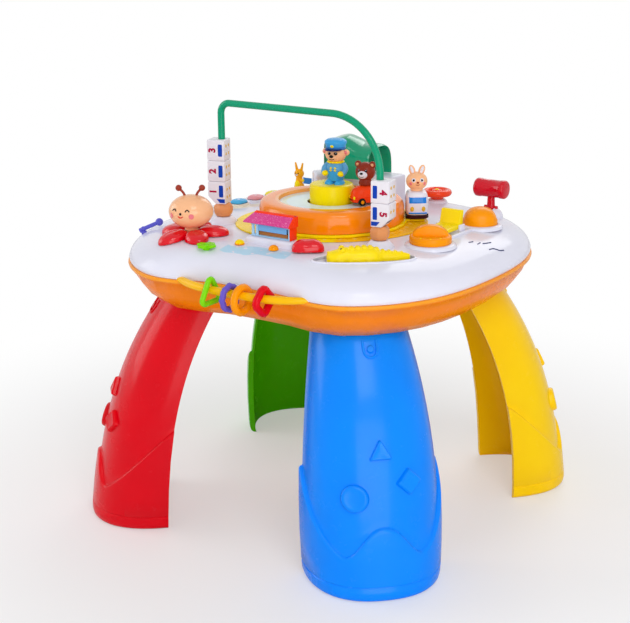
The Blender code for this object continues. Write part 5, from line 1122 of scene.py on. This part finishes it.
hall = {side: station[side] for side in ("left", "right", "front", "back")}
hall.update(eaves=deckTop + station["eaves"], ridge=deckTop + station["ridge"], overhang=0.004, column=0.0016)
g = deckTop + station["plinth"] + 0.0003
parts = [paint(slab((hall["left"], hall["back"] - 0.0022, g), (hall["right"], hall["back"], hall["eaves"]), 0.0004),
               "suit"),
         paint(slab((hall["left"], hall["front"], g), (hall["right"], hall["back"], g + 0.0012), 0.0004), "pillar"),
         paint(slab((hall["left"], hall["front"] + 0.0002, hall["eaves"] - 0.0018),
                    (hall["right"], hall["back"], hall["eaves"]), 0.0004), "pillar"),
         paint(slab((hall["left"] + 0.007, hall["front"] + 0.0035, g + 0.0008),
                    (hall["right"] - 0.007, hall["back"] - 0.0018, g + 0.0056), 0.0008), "bench"),
         paint(slab((hall["right"] - 0.0016, hall["front"] - 0.0004, g), (hall["right"] + 0.0002, hall["back"],
                                                                        hall["eaves"]), 0.0004), "roofEnd"),
         paint(slab((hall["left"] + 0.010, hall["front"] - 0.0002, g + 0.0064),
                    (hall["right"] - 0.006, hall["front"] + 0.0014, hall["eaves"] - 0.0004), 0.0005), "signBlue")]
for x in (hall["left"] + 0.0018, hall["left"] + 0.0075, hall["right"] - 0.0030):
    column = rod((x, hall["front"] + 0.0020, g), (x, hall["front"] + 0.0020, hall["eaves"]), hall["column"])
    parts.append(paint(column, "pillar"))
for x in (-0.014, -0.002, 0.010):
    window = slab((x, hall["back"] - 0.0030, g + 0.0058), (x + 0.006, hall["back"] - 0.0020, g + 0.0118), 0.0003)
    parts.append(paint(window, "pillar"))
dress(joined(*parts), "stationHall", "table", ["station_house"], 35)
low = hall["eaves"] + 0.0003
front, back = hall["front"] - hall["overhang"], hall["back"]
left, right = hall["left"] - 0.0078, hall["right"] + 0.0018
roofRows = [[(left, front, z), (right, front, z), (right, back, z), (left, back, z)] for z in (low, low + 0.0016)]
roofRows.append([(left + 0.0090, back - 0.0032, hall["ridge"]), (right - 0.0024, back - 0.0032, hall["ridge"]),
                 (right - 0.0024, back - 0.0012, hall["ridge"]), (left + 0.0090, back - 0.0012, hall["ridge"])])
roofPiece = rounded(skin(roofRows), 0.0006, 3, 20)
for vertex in roofPiece.data.vertices:
    vertex.co.z = min(vertex.co.z, hall["ridge"])
roofParts = [paint(roofPiece, plastic("roofPink", "D8408C", rough=0.35, coat=0.1, prints=roofPrint))]
ridgeRoll = [(x, back - 0.0022, hall["ridge"] - 0.0012) for x in (left + 0.0094, right - 0.0028)]
roofParts.append(paint(pipe(ridgeRoll, 0.0017), "roofEnd"))
ridgeBand = slab((left + 0.0088, back - 0.0050, hall["ridge"] - 0.0030), (right, back + 0.0002, hall["ridge"]),
                 0.0006)
roofParts.append(paint(ridgeBand, "roofEnd"))
gable = [(front - 0.0001, low), (front - 0.0001, low + 0.0018), (back - 0.0050, hall["ridge"]),
         (back, hall["ridge"]), (back, low)]
roofParts.append(paint(skin([[(x, y, z) for y, z in gable] for x in (right - 0.0020, right + 0.0002)]), "roofEnd"))
dress(joined(*roofParts), "stationRoof", "table", ["station_roof"], 35)
print("station done")


# Bee on its flower.

bee = {"x": -0.098, "y": -0.136, "z": 0.3635, "radii": (0.0250, 0.0215, 0.0190), "turn": math.radians(34),
       "face": math.radians(7), "neck": 0.0075, "spread": 0.013, "antennaTop": deckTop + 0.054, "petals": 5,
       "petalFirst": math.radians(34), "petalReach": 0.0235, "petal": (0.0185, 0.0135, 0.0085)}


def makePetals():
    parts = []
    for step in range(bee["petals"]):
        angle = bee["petalFirst"] + math.tau * step / bee["petals"]
        petal = dome((0, 0, 0), bee["petal"], 0, 0.0012, 0.9)
        for vertex in petal.data.vertices:
            # a crease down the middle and a slightly pointed tip
            x, y = vertex.co.x, vertex.co.y
            vertex.co.z -= 0.0012 * math.exp(-(y / 0.0022) ** 2) * max(0.0, 1 - abs(x) / 0.017)
            vertex.co.y *= 1 - 0.18 * max(0.0, -x / 0.0185)
        parts.append(moved(petal, turnAbout(angle, bee["x"] + bee["petalReach"] * math.cos(angle),
                                            bee["y"] + bee["petalReach"] * math.sin(angle), deckTop + 0.0021)))
    collar = lathe([(0.0086, deckTop + 0.0009), (0.0130, deckTop + 0.0009), (0.0136, deckTop + 0.0022),
                    (0.0118, deckTop + 0.0030), (0.0086, deckTop + 0.0030)], (bee["x"], bee["y"]), 64, ring=True)
    for piece in parts:
        cutOut(piece, rod((bee["x"], bee["y"], deckTop - 0.01), (bee["x"], bee["y"], deckTop + 0.02), 0.0090))
    piece = joined(collar, *parts)
    onDeck(piece)
    dress(paint(piece, plastic("petalRed", finishes["petal"], rough=0.12, coat=0.5)), "beePetals", "table",
          ["bee_petals"], 50)


def makeBee():
    x, y = bee["x"], bee["y"]
    centre, radii, turn = (x, y, bee["z"]), bee["radii"], bee["turn"]
    ribs = [(0, deckTop + 0.0034)]
    for step in range(5):
        height = deckTop + 0.0034 + step * 0.0028
        ribs += [(bee["neck"] * share, height + lift) for share, lift in ((1, 0), (1.05, 0.0009), (0.86, 0.0020))]
    ribs.append((0, deckTop + 0.0180))
    skinMaterial = plastic("beePeach", finishes["peach"], rough=0.16, coat=0.45, drift=0.04)
    parts = [paint(lathe(ribs, (x, y), 56), skinMaterial),
             paint(ball(centre, radii, turn, segments=64, rings=36), skinMaterial)]
    parts.append(paint(rod((x, y, deckTop - 0.004), (x, y, deckTop + 0.004), 0.004), skinMaterial))
    across = Vector((math.cos(turn), math.sin(turn), 0))
    for side in (-1, 1):
        foot = Vector((x, y, bee["z"] + radii[2] * 0.86)) + across * side * bee["spread"] * 0.45
        tip = Vector((x, y, bee["antennaTop"])) + across * side * bee["spread"]
        half = (foot + tip) / 2 - across * side * 0.0012
        line = smoothLine([tuple(foot), tuple(half), tuple(tip)], 6)
        parts.append(paint(pipe(line, 0.0014), "brown"))
        parts.append(paint(ball(tuple(tip), 0.0036, segments=28, rings=16), "brown"))
        azimuth = bee["face"] + side * math.radians(21)
        eye = []
        for step in range(9):
            share = step / 4 - 1
            eye.append(spotOn(centre, radii, turn, azimuth + share * 0.11,
                              math.radians(9) + 0.10 * (1 - share * share), 0.0002))
        parts.append(paint(pipe(eye, 0.0006, fineness=3), "black"))
        azimuth = bee["face"] + side * math.radians(33)
        parts.append(dot(spotOn(centre, radii, turn, azimuth, math.radians(-5)), centre, 0.0030, "cheek", 0.12))
    parts.append(dot(spotOn(centre, radii, turn, bee["face"], math.radians(2)), centre, 0.0015, "black", 0.7))
    parts.append(smile(centre, radii, turn, bee["face"], math.radians(-5), 0.13, 0.07, 0.00055, "petal"))
    dress(joined(*parts), "beeHead", "bee_head", ["bee_head"], 60)


makePetals()
makeBee()
print("bee done")


# Small hand toys of the deck. Each sits where its CAD node does.

def domedPlate(outlineOf, rows, place):
    # rows of one outline, each (share, height); the outline is a function of the share
    return moved(skin([[(x, y, height) for x, y in outlineOf(share)] for share, height in rows]), place)


clover = {"x": -0.0516, "y": -0.1673, "radius": 0.012, "thick": 0.003}
lift = max(deckZ(clover["x"] + dx * 0.008, clover["y"] + dy * 0.008) for dx in (-1, 1) for dy in (-1, 1)) + 0.0009
parts = []
for step in range(4):
    angle = step * math.pi / 2
    spot = turnAbout(angle, clover["x"] + clover["radius"] * 0.52 * math.cos(angle),
                     clover["y"] + clover["radius"] * 0.52 * math.sin(angle), lift)

    def heart(share):
        line = []
        for index in range(40):
            around = math.tau * index / 40
            off = around if around < math.pi else around - math.tau
            notch = 1 - 0.42 * math.exp(-(off / 0.34) ** 2) - 0.25 * math.exp(-((abs(off) - math.pi) / 0.8) ** 2)
            line.append((0.0058 * share * notch * math.cos(around), 0.0052 * share * notch * math.sin(around)))
        return line

    parts.append(domedPlate(heart, ((0.94, 0.0), (1.0, 0.0006), (1.0, 0.0020), (0.92, 0.0027), (0.70, 0.0030),
                                    (0.1, 0.0028)), spot))
parts.append(lathe([(0, lift + 0.001), (0.0034, lift + 0.001), (0.0030, lift + 0.0036), (0.0014, lift + 0.0042),
                    (0, lift + 0.0042)], (clover["x"], clover["y"]), 32))
parts.append(rod((clover["x"], clover["y"], deckTop - 0.004), (clover["x"], clover["y"], lift + 0.002), 0.004))
dress(paint(joined(*parts), "lime"), "cloverTop", "clover", ["clover"], 50)

lever = {"x": -0.183, "y": -0.122, "length": 0.024, "radius": 0.0022, "ball": 0.0045, "turn": math.radians(30)}
foot = Vector((lever["x"], lever["y"], deckZ(lever["x"], lever["y"]) + lever["ball"] + 0.0009))
along = Vector((math.cos(lever["turn"]), math.sin(lever["turn"]), 0.45))
tip = foot + along * lever["length"] * 0.8
parts = [rounded(rod(foot - along * lever["ball"], tip, lever["radius"] * 1.15, lever["radius"]), 0.0006),
         rod(foot - Vector((0, 0, lever["ball"] + 0.006)), foot, lever["radius"]),
         ball(tuple(tip), (0.0045, 0.0045, 0.0045)), ball(tuple(foot), (0.0031, 0.0031, 0.0031)),
         lathe([(0, foot.z - 0.0040), (0.0040, foot.z - 0.0040), (0.0036, foot.z - 0.0022), (0, foot.z - 0.0016)],
               (foot.x, foot.y), 32)]
dress(paint(joined(*parts), "purple"), "leverArm", "lever", ["lever"], 50)

bean = {"x": 0.056, "y": -0.128, "turn": math.radians(34), "length": 0.035, "width": 0.024, "height": 0.0115,
        "low": 0.3388}
piece = dome((0, 0, 0), (bean["length"] / 2, bean["width"] / 2, bean["height"]), 0, 0.0012, 0.85)
for vertex in piece.data.vertices:
    share = vertex.co.x / (bean["length"] / 2)
    vertex.co.y += bean["width"] / 5 * (1 - share ** 2) - bean["width"] / 10
    vertex.co.z *= 1 - 0.10 * math.exp(-(share / 0.30) ** 2)
moved(piece, turnAbout(bean["turn"], bean["x"], bean["y"], bean["low"]))
shank = rod((bean["x"], bean["y"], 0.3300), (bean["x"], bean["y"], bean["low"] + 0.002), 0.004)
dress(paint(joined(piece, shank), plastic("beanRed", finishes["petal"], rough=0.12, coat=0.5)), "beanButton",
      "bean_button", ["bean_button"], 50)

for name, node, x, y, code, slotName in (("lampYellow", "lamp_yellow", -0.027, -0.140, "lampYellow", "yellow"),
                                         ("lampOrange", "lamp_orange", 0.019, -0.140, "orange", "button_orange")):
    ground = max(deckZ(x + dx, y + dy) for dx in (-0.0055, 0, 0.0055) for dy in (-0.0055, 0, 0.0055)) + 0.0009
    lens = dome((x, y, ground), (0.0053, 0.0053, 0.0044), 0, 0.0008)
    seatRing = lathe([(0.0044, ground - 0.0010), (0.0055, ground - 0.0010), (0.0055, ground + 0.0004),
                      (0.0049, ground + 0.0010), (0.0044, ground + 0.0010)], (x, y), 40, ring=True)
    shank = rod((x, y, ground - 0.006), (x, y, ground + 0.001), 0.0027)
    dress(joined(paint(lens, code), paint(seatRing, "orange"), paint(shank, code)), name, "table",
          [node], 50)


# Crocodile in its recess: bumps down the back, raised eyes, a scalloped skirt.

crocShares = [(-0.50, 0.30, 0.35), (-0.47, 0.72, 0.62), (-0.38, 0.92, 0.80), (-0.28, 0.86, 1.0),
              (-0.19, 0.96, 0.92), (-0.04, 1.0, 1.0), (0.08, 0.94, 0.92), (0.15, 0.62, 0.66),
              (0.28, 0.52, 0.56), (0.40, 0.40, 0.45), (0.50, 0.16, 0.25)]
body = {"length": 0.088, "shift": 0.0045, "half": 0.0115, "height": 0.0125, "low": 0.3336}
crocLine = smoothLine(crocShares, 6)
loops = []
for along, wide, tall in crocLine:
    skirt = 1 + 0.05 * math.cos(along * 2 * math.pi * 9)
    loop = []
    for step in range(33):
        angle = math.pi * step / 32
        loop.append((along * body["length"], body["half"] * wide * math.cos(angle),
                     0.0024 + body["height"] * tall * 0.98 * math.sin(angle) ** 0.8))
    loop += [(along * body["length"], side * body["half"] * wide * skirt, height)
             for side, height in ((-1, 0.0010), (-1, 0.0), (1, 0.0), (1, 0.0010))]
    loops.append(loop)
parts = [skin(loops)]


def crocTop(along):
    spots = [(abs(share - along), tall) for share, wide, tall in crocLine]
    return 0.0024 + body["height"] * 0.98 * min(spots)[1]


for index in range(9):
    along = -0.20 + index * 0.075
    size = 0.0029 - 0.00015 * index
    for side in (-1, 1):
        parts.append(ball((along * body["length"], side * 0.0030 * (1 - 0.05 * index), crocTop(along) - 0.0012),
                          (size * 1.2, size, size), segments=20, rings=12))
eyes = []
for side in (-1, 1):
    parts.append(ball((-0.315 * body["length"], side * 0.0058, crocTop(-0.315) - 0.0020), (0.0034, 0.0030, 0.0034)))
    parts.append(ball((-0.475 * body["length"], side * 0.0030, crocTop(-0.475) - 0.0006), (0.0016, 0.0013, 0.0012),
                      segments=20, rings=12))
    eyes.append(dot((-0.335 * body["length"], side * 0.0066, crocTop(-0.315) + 0.0004),
                    (-0.315 * body["length"], side * 0.0058, crocTop(-0.315) - 0.0020), 0.0011, "black", 0.5))
parts.append(rod((-body["shift"], 0, -0.010), (-body["shift"], 0, 0.002), 0.004))
piece = joined(paint(joined(*parts), "crocodile"), *eyes)
moved(piece, Matrix.Translation((body["shift"], 0, 0)))
moved(piece, turnAbout(croc["turn"], croc["x"], croc["y"], body["low"]))
dress(piece, "crocodileButton", "crocodile", ["crocodile"], 60)


# Turning knob with its half-round grip, the square dome, and the tipping seat.

low = deckTop + knob["collar"] + 0.0003
high = low + knob["disc"]
disc = lathe([(0, low)] + [(knob["radius"] - inset, height) for inset, height in
                           ((0.0006, low), (0.0, low + 0.0008), (0.0, high - 0.0024), (0.0006, high - 0.0010),
                            (0.0020, high - 0.0002), (0.0030, high))] + [(0, high)], steps=96)
half, loops = knob["radius"] * 0.86, []
gripRise = knob["grip"] - knob["disc"] + 0.0015
for share, ahead in ((0.80, -0.0065), (0.94, -0.0061), (1.0, -0.0050), (1.0, 0.0050), (0.94, 0.0061),
                     (0.80, 0.0065)):
    loops.append([(half * share * math.cos(a), ahead, high - 0.0015 + gripRise * share * math.sin(a))
                  for a in [math.pi * i / 40 for i in range(41)]])
grip = rounded(skin(loops), 0.0004, 2, 40)
marks = []
for turn in (-0.55, 0.0, 0.55):
    reach = knob["radius"] - 0.0028
    angle = -math.pi / 2 + turn
    marks.append(paint(ball((reach * math.cos(angle), reach * math.sin(angle), high), (0.0012, 0.0012, 0.0004),
                            segments=20, rings=10), "capYellow"))
piece = joined(paint(joined(disc, grip, rod((0, 0, 0.326), (0, 0, low + 0.003), 0.004)), "orange"), *marks)
moved(piece, turnAbout(knob["turn"], knob["x"], knob["y"]))
dress(piece, "turnKnob", "knob", ["knob"], 45)

low, ledge = deckTop - 0.0027, deckTop + domeButton["collar"]
rise = deckTop + domeButton["rise"] - ledge
capRows = [circleLoop(domeButton["radius"], height, 80) for height in (low, ledge)]
for step in range(1, 15):
    # the rows turn from round at the foot to square and back to round at the top, inside the round foot
    angle = math.pi / 2 * step / 14
    share = max(math.cos(angle) ** 0.75, 0.03)
    height = ledge + rise * math.sin(angle)
    power = 1 - 0.25 * min(1.0, max(0.0, (share - 0.1) * 2))
    side = domeButton["radius"] * share * 0.985
    row = circleLoop(domeButton["radius"], height, 80) if share >= 0.97 else softLoop(side, side, power, height, 80)
    within = [min(1.0, domeButton["radius"] / math.hypot(x, y)) for x, y, z in row]
    capRows.append([(x * scale, y * scale, z) for (x, y, z), scale in zip(row, within)])
parts = [paint(skin(capRows), "orange")]
for step in range(5):
    angle = math.tau * step / 5 + 0.3
    reach = 0.0088
    spot = Vector((reach * math.cos(angle), reach * math.sin(angle), ledge + rise * 0.905))
    parts.append(dot(spot, (0, 0, ledge - 0.004), 0.0013, "roofEnd", 0.6))
dress(moved(joined(*parts), turnAbout(math.radians(34), domeButton["x"], domeButton["y"])), "domeTop",
      "dome_button", ["dome_button"], 60)

half, thick, axis = seat["width"] / 2, seat["thick"], seatAxis
profile = [(-seat["reach"], -thick / 2), (-seat["reach"], thick / 4), (-thick / 2, thick),
           (thick / 2, seat["back"] - thick), (2 * thick, seat["back"] - thick), (1.5 * thick, 0),
           (0, -thick / 2)]
piece = skin([[(seat["x"] + across, seat["y"] + ahead, axis + height) for ahead, height in profile]
              for across in (-half, half)])
rounded(piece, 0.0011, 4, 25)
pins = rod((seat["x"] - half - 0.003, seat["y"], axis), (seat["x"] + half + 0.003, seat["y"], axis), seat["pin"])
ribs = [piece, pins]
for across in (-0.008, 0.0, 0.008):
    ribs.append(pipe([(seat["x"] + across, seat["y"] - seat["reach"] + 0.004, axis + 0.0014),
                      (seat["x"] + across, seat["y"] - 0.006, axis + 0.0036)], 0.0007, False, 3))
dress(paint(joined(*ribs), "crocodile"), "tippingSeat", "seat_rocker", ["seat_rocker"], 40)


# Mallet, steering wheel and the four keys.

centre = (mallet["x"], mallet["y"], deckTop + mallet["rise"])
r, half = mallet["radius"], mallet["length"] / 2
headRows = [(0, -half), (r * 0.72, -half), (r * 0.90, -half * 0.975), (r, -half * 0.90), (r, -half * 0.66),
            (r * 0.955, -half * 0.62), (r * 0.955, half * 0.62), (r, half * 0.66), (r, half * 0.90),
            (r * 0.90, half * 0.975), (r * 0.72, half), (0, half)]
head = moved(lathe(headRows, steps=72), Matrix.Translation(centre) @ Matrix.Rotation(math.pi / 2, 4, "Y"))
parts = [head]
handle = mallet["handle"]
parts.append(rod((centre[0], centre[1], malletAxis), (centre[0], centre[1], centre[2] - 0.004), handle * 0.98,
                 handle * 0.8))
parts.append(ball((centre[0], centre[1], malletAxis), (handle, handle, handle)))
parts.append(rod((centre[0] - 0.0084, centre[1], malletAxis), (centre[0] + 0.0084, centre[1], malletAxis), 0.0022))
dress(paint(joined(*parts), plastic("malletRed", finishes["mallet"], rough=0.16, coat=0.4)), "malletHead",
      "mallet", ["mallet"], 50)

circle = circleLoop(wheel["radius"] - wheel["tube"], wheelTop, 72, wheel["x"], wheel["y"])
parts = [pipe(circle, wheel["tube"], True, 7)]
for step in range(3):
    angle = math.tau * step / 3 + math.pi / 6
    away = Vector((math.cos(angle), math.sin(angle), 0))
    hub = Vector((wheel["x"], wheel["y"], wheelTop))
    parts.append(pipe([tuple(hub + away * 0.004 + Vector((0, 0, 0.0004))), tuple(hub + away * 0.0145)], 0.0027))
hubLine = [(0, -0.0077), (0.0080, -0.0077), (0.0080, -0.0010), (0.0074, 0.0014), (0.0060, 0.0030),
           (0.0030, 0.0038), (0, 0.0039)]
parts.append(lathe([(radius, wheelTop + rise) for radius, rise in hubLine], (wheel["x"], wheel["y"]), 56))
parts.append(rod((wheel["x"], wheel["y"], deckTop - 0.006), (wheel["x"], wheel["y"], wheelTop), 0.004))
wheelPiece = paint(joined(*parts), plastic("wheelRed", finishes["wheelRed"], rough=0.18, coat=0.3))
capLine = [(0, 0.0036), (0.0026, 0.0038), (0.0022, 0.0043), (0, 0.0044)]
hubCap = paint(lathe([(radius, wheelTop + rise) for radius, rise in capLine], (wheel["x"], wheel["y"]), 32),
               "capYellow")
dress(joined(wheelPiece, hubCap), "wheelTop", "steering_wheel", ["steering_wheel"], 50)

for index, (code, slotName) in enumerate((("orange", "button_orange"), ("keyBlue", "key_blue"),
                                          ("keyPink", "key_pink"), ("keyYellow", "yellow")), 1):
    x, y = keyPlace(index - 1)
    rows = [softLoop(keyRow["wide"] / 2 * share, keyRow["long"] / 2 * share, keyRow["corner"],
                     keyRow["low"] + height, 56, x, y) for share, height in
            ((0.97, -0.0004), (1.0, 0.0), (1.0, 0.0006), (0.97, 0.0015), (0.88, 0.0025), (0.72, 0.0032),
             (0.45, 0.0036), (0.05, 0.0037))]
    parts = [skin(rows), rod((x, y, deckTop - 0.006), (x, y, keyRow["low"] + 0.002), 0.004)]
    note = dot((x, y, keyRow["low"] + 0.0034), (x, y, keyRow["low"]), 0.0022, "white", 0.25)
    dress(joined(paint(joined(*parts), code), note), "musicKey" + str(index), "music_key_" + str(index),
          ["music_key_" + str(index)], 50)


# Little animal with V ears that waves a flag.

flag = {"x": -0.137, "y": 0.128, "top": deckTop + 0.037, "length": 0.013, "drop": 0.008, "thick": 0.0012}
ground = deckZ(flag["x"], flag["y"]) + 0.0009
tall = flag["top"] - ground
x, y = flag["x"], flag["y"]
centre, radii = (x, y, ground + tall * 0.62), (tall * 0.17, tall * 0.16, tall * 0.16)
bodyLine = [(0, 0), (0.19, 0), (0.20, 0.04), (0.185, 0.14), (0.12, 0.40), (0.10, 0.52), (0, 0.54)]
parts = [paint(lathe([(tall * wide, ground + tall * high) for wide, high in bodyLine], (x, y), 56), "amber"),
         paint(ball(centre, radii), "amber"),
         paint(ball((x, y - tall * 0.13, ground + tall * 0.27), (tall * 0.10, tall * 0.05, tall * 0.13)),
               "crocodile")]
for side in (-1, 1):
    earTip = (x + side * tall * 0.145, y, flag["top"] - tall * 0.035)
    ear = rod((x + side * tall * 0.07, y, ground + tall * 0.66), earTip, tall * 0.058, tall * 0.030)
    parts.append(paint(rounded(ear, 0.0004), "amber"))
    parts.append(paint(ball(earTip, tall * 0.032, segments=20, rings=12), "amber"))
    parts.append(dot(spotOn(centre, radii, 0, side * 0.40, 0.18), centre, tall * 0.022, "black"))
    foot = dome((x + side * tall * 0.09, y - tall * 0.12, ground), (tall * 0.07, tall * 0.09, tall * 0.06))
    parts.append(paint(foot, "brown"))
parts.append(paint(ball((x, y - tall * 0.155, ground + tall * 0.595), (tall * 0.045, tall * 0.03, tall * 0.03)),
                   "block"))
parts.append(dot(spotOn(centre, radii, 0, 0, 0.02, tall * 0.022), centre, tall * 0.016, "black"))
hand = (x + tall * 0.24, y - tall * 0.1, ground + tall * 0.42)
armLine = [(x + tall * 0.06, y, ground + tall * 0.44), (x + tall * 0.16, y - tall * 0.07, ground + tall * 0.39), hand]
parts.append(paint(pipe(smoothLine(armLine, 5), tall * 0.048), "amber"))
parts.append(paint(ball(hand, tall * 0.052, segments=24, rings=14), "crocodile"))
cloth = slab((hand[0], hand[1] - flag["thick"] / 2, hand[2] - flag["drop"] / 2),
             (hand[0] + flag["length"], hand[1] + flag["thick"] / 2, hand[2] + flag["drop"] / 2), 0.0004)
parts.append(paint(cloth, "plainBlue"))
stick = rod((hand[0], hand[1], hand[2] - flag["drop"] * 0.5),
            (hand[0], hand[1], hand[2] + flag["drop"] * 0.55), 0.0009)
parts.append(paint(stick, "white"))
parts.append(paint(rod((x, y, ground - 0.009), (x, y, ground + 0.003), 0.004), "amber"))
dress(joined(*parts), "flagAnimal", "flag_figure", ["flag_figure"], 60)
print("hand toys done")


# Ring rail and its four rings, each ring the CAD's own loop shaded smooth.

railEnds = (Vector((-0.074, -0.190, seam)), Vector((0.100, -0.186, seam)))
railLine = []
for step in range(37):
    share = step / 36
    point = railEnds[0].lerp(railEnds[1], share)
    point.y += (-0.2115 - point.y) * (1 - abs(2 * share - 1) ** 3)
    railLine.append(tuple(point))
rail = pipe(railLine, 0.00445, fineness=8)
for vertex in rail.data.vertices:
    # the bar is pressed flat where it dives into the case
    end = min(abs(vertex.co.x - railEnds[0].x), abs(vertex.co.x - railEnds[1].x))
    vertex.co.z = seam + (vertex.co.z - seam) * (1 - 0.25 * math.exp(-(end / 0.016) ** 2))
dress(paint(rail, plastic("railYellow", finishes["railAmber"], rough=0.2)), "ringRail", "table",
      ["rail_bar"], 60)
for name, node, code, slotName in (("ringTriangle", "ring_triangle", "ringGreen", "lime"),
                                   ("ringScalloped", "ring_scalloped", "ringPurple", "violet"),
                                   ("ringRound", "ring_round", "orange", "button_orange"),
                                   ("ringFlower", "ring_flower", "petal", "red")):
    dress(paint(smoothCopy(node), code), name, node, [node], 65)


# CAD nodes that keep their own shape get their finishes.

def boardPrint(place, tone):
    lanes = (place.axes()[0] * 900.0 + noise(place, 60.0, 0.0) * 6.0).sine()
    return mixed(lanes.ease(0.82, 0.9), tone, colour("C8A040"))


def meshPrint(place, tone):
    x, y = place.axes()[:2]
    weave = (x * 3600.0).sine() * (y * 3600.0).sine()
    return mixed(weave.ease(0.2, 0.5), tone, colour("3C3C40"))


steel = plastic("screwSteel", "B8BAC0", rough=0.3, coat=0.0, drift=0.06)
steel.node_tree.nodes["Principled BSDF"].inputs["Metallic"].default_value = 1.0
keep = {"circuit_board": plastic("boardGreen", "1F7A48", rough=0.4, coat=0.0, prints=boardPrint),
        "speaker": plastic("speakerBlack", "1C1C1E", rough=0.5, coat=0.0, prints=meshPrint),
        "battery_door": plastic("doorWhite", "ECECF2", rough=0.3, coat=0.1, drift=0.02),
        "drum_retainer": plastic("retainerBlack", "202024", rough=0.4, coat=0.0)}
for number in range(1, 5):
    keep["case_screw_" + str(number)] = steel
for node, material in keep.items():
    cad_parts[node].data.materials.clear()
    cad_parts[node].data.materials.append(material)
print("all pieces done")


# Camera, floor and light.

shot = {"azimuth": math.radians(34.13), "elevation": math.radians(16.01), "distance": 1.6421,
        "target": (0, 0, 0.25), "roll": math.radians(-0.29), "focal": 1389.7, "width": 630, "height": 623,
        "middleX": 332.14, "middleY": 293.64}
target = Vector(shot["target"])
flat = math.cos(shot["elevation"])
place = target + shot["distance"] * Vector((math.sin(shot["azimuth"]) * flat, -math.cos(shot["azimuth"]) * flat,
                                            math.sin(shot["elevation"])))
camera = bpy.data.cameras.new("camera")
camera.sensor_width = 36
camera.lens = shot["focal"] / shot["width"] * 36
camera.shift_x = -(shot["middleX"] - shot["width"] / 2) / shot["width"]
camera.shift_y = (shot["middleY"] - shot["height"] / 2) / shot["width"]
camera.clip_end = 20
eye = bpy.data.objects.new("camera", camera)
bpy.context.scene.collection.objects.link(eye)
eye.location = place
eye.rotation_euler = (target - place).to_track_quat("-Z", "Y").to_euler()
eye.rotation_euler.rotate_axis("Z", shot["roll"])
bpy.context.scene.camera = eye

# the floor is white to the camera and keeps the table's soft shadow
deselectAll()
bpy.ops.mesh.primitive_circle_add(vertices=64, radius=6, fill_type="NGON", location=(0, 0, -0.0002))
floor = settle(newest())
floor.name = "floor"
floorFinish, floorShader, floorPlace = newFinish("floor")
floorShader.inputs["Base Color"].default_value = (0.86, 0.86, 0.87, 1)
floorShader.inputs["Roughness"].default_value = 0.6
tree = floorFinish.node_tree
seen = floorPlace.node("ShaderNodeLightPath", {}, {}, "Is Camera Ray")
glow = tree.nodes.new("ShaderNodeEmission")
blend = tree.nodes.new("ShaderNodeMixShader")
lit = seen * (reachOf(floorPlace).ease(0.30, 0.80) * 0.62 + 0.38)
tree.links.new(lit.socket, blend.inputs[0])
tree.links.new(floorShader.outputs[0], blend.inputs[1])
tree.links.new(glow.outputs[0], blend.inputs[2])
tree.links.new(blend.outputs[0], tree.nodes["Material Output"].inputs["Surface"])
paint(floor, floorFinish)

world = bpy.data.worlds.new("studio")
world.use_nodes = True
bpy.context.scene.world = world
sky = world.node_tree
back = sky.nodes["Background"]
back.inputs["Color"].default_value = (1, 1, 1, 1)
light = Field(sky).node("ShaderNodeLightPath", {}, {}, "Is Camera Ray")
glossy = Field(sky, light.socket.node.outputs["Is Glossy Ray"])
through = Field(sky, light.socket.node.outputs["Is Transmission Ray"])
white = light.math("MAXIMUM", light, light.math("MAXIMUM", glossy, through))
sky.links.new((white * 0.5 + 0.5).socket, back.inputs["Strength"])

lamps = {"key": ((1.6, -1.5, 2.2), 19, 1.1), "front": ((1.5, -1.5, 0.5), 13, 1.2),
         "fill": ((-2.0, -0.9, 1.0), 13, 1.2), "back": ((-0.4, 2.2, 1.9), 14, 1.4)}
for name, (spot, power, size) in lamps.items():
    lamp = bpy.data.lights.new(name, "AREA")
    lamp.energy = power
    lamp.size = size
    holder = bpy.data.objects.new(name, lamp)
    bpy.context.scene.collection.objects.link(holder)
    holder.location = spot
    holder.rotation_euler = (Vector((0, 0, 0.2)) - Vector(spot)).to_track_quat("-Z", "Y").to_euler()
bpy.context.scene.view_settings.view_transform = "Standard"

print("scene ready")
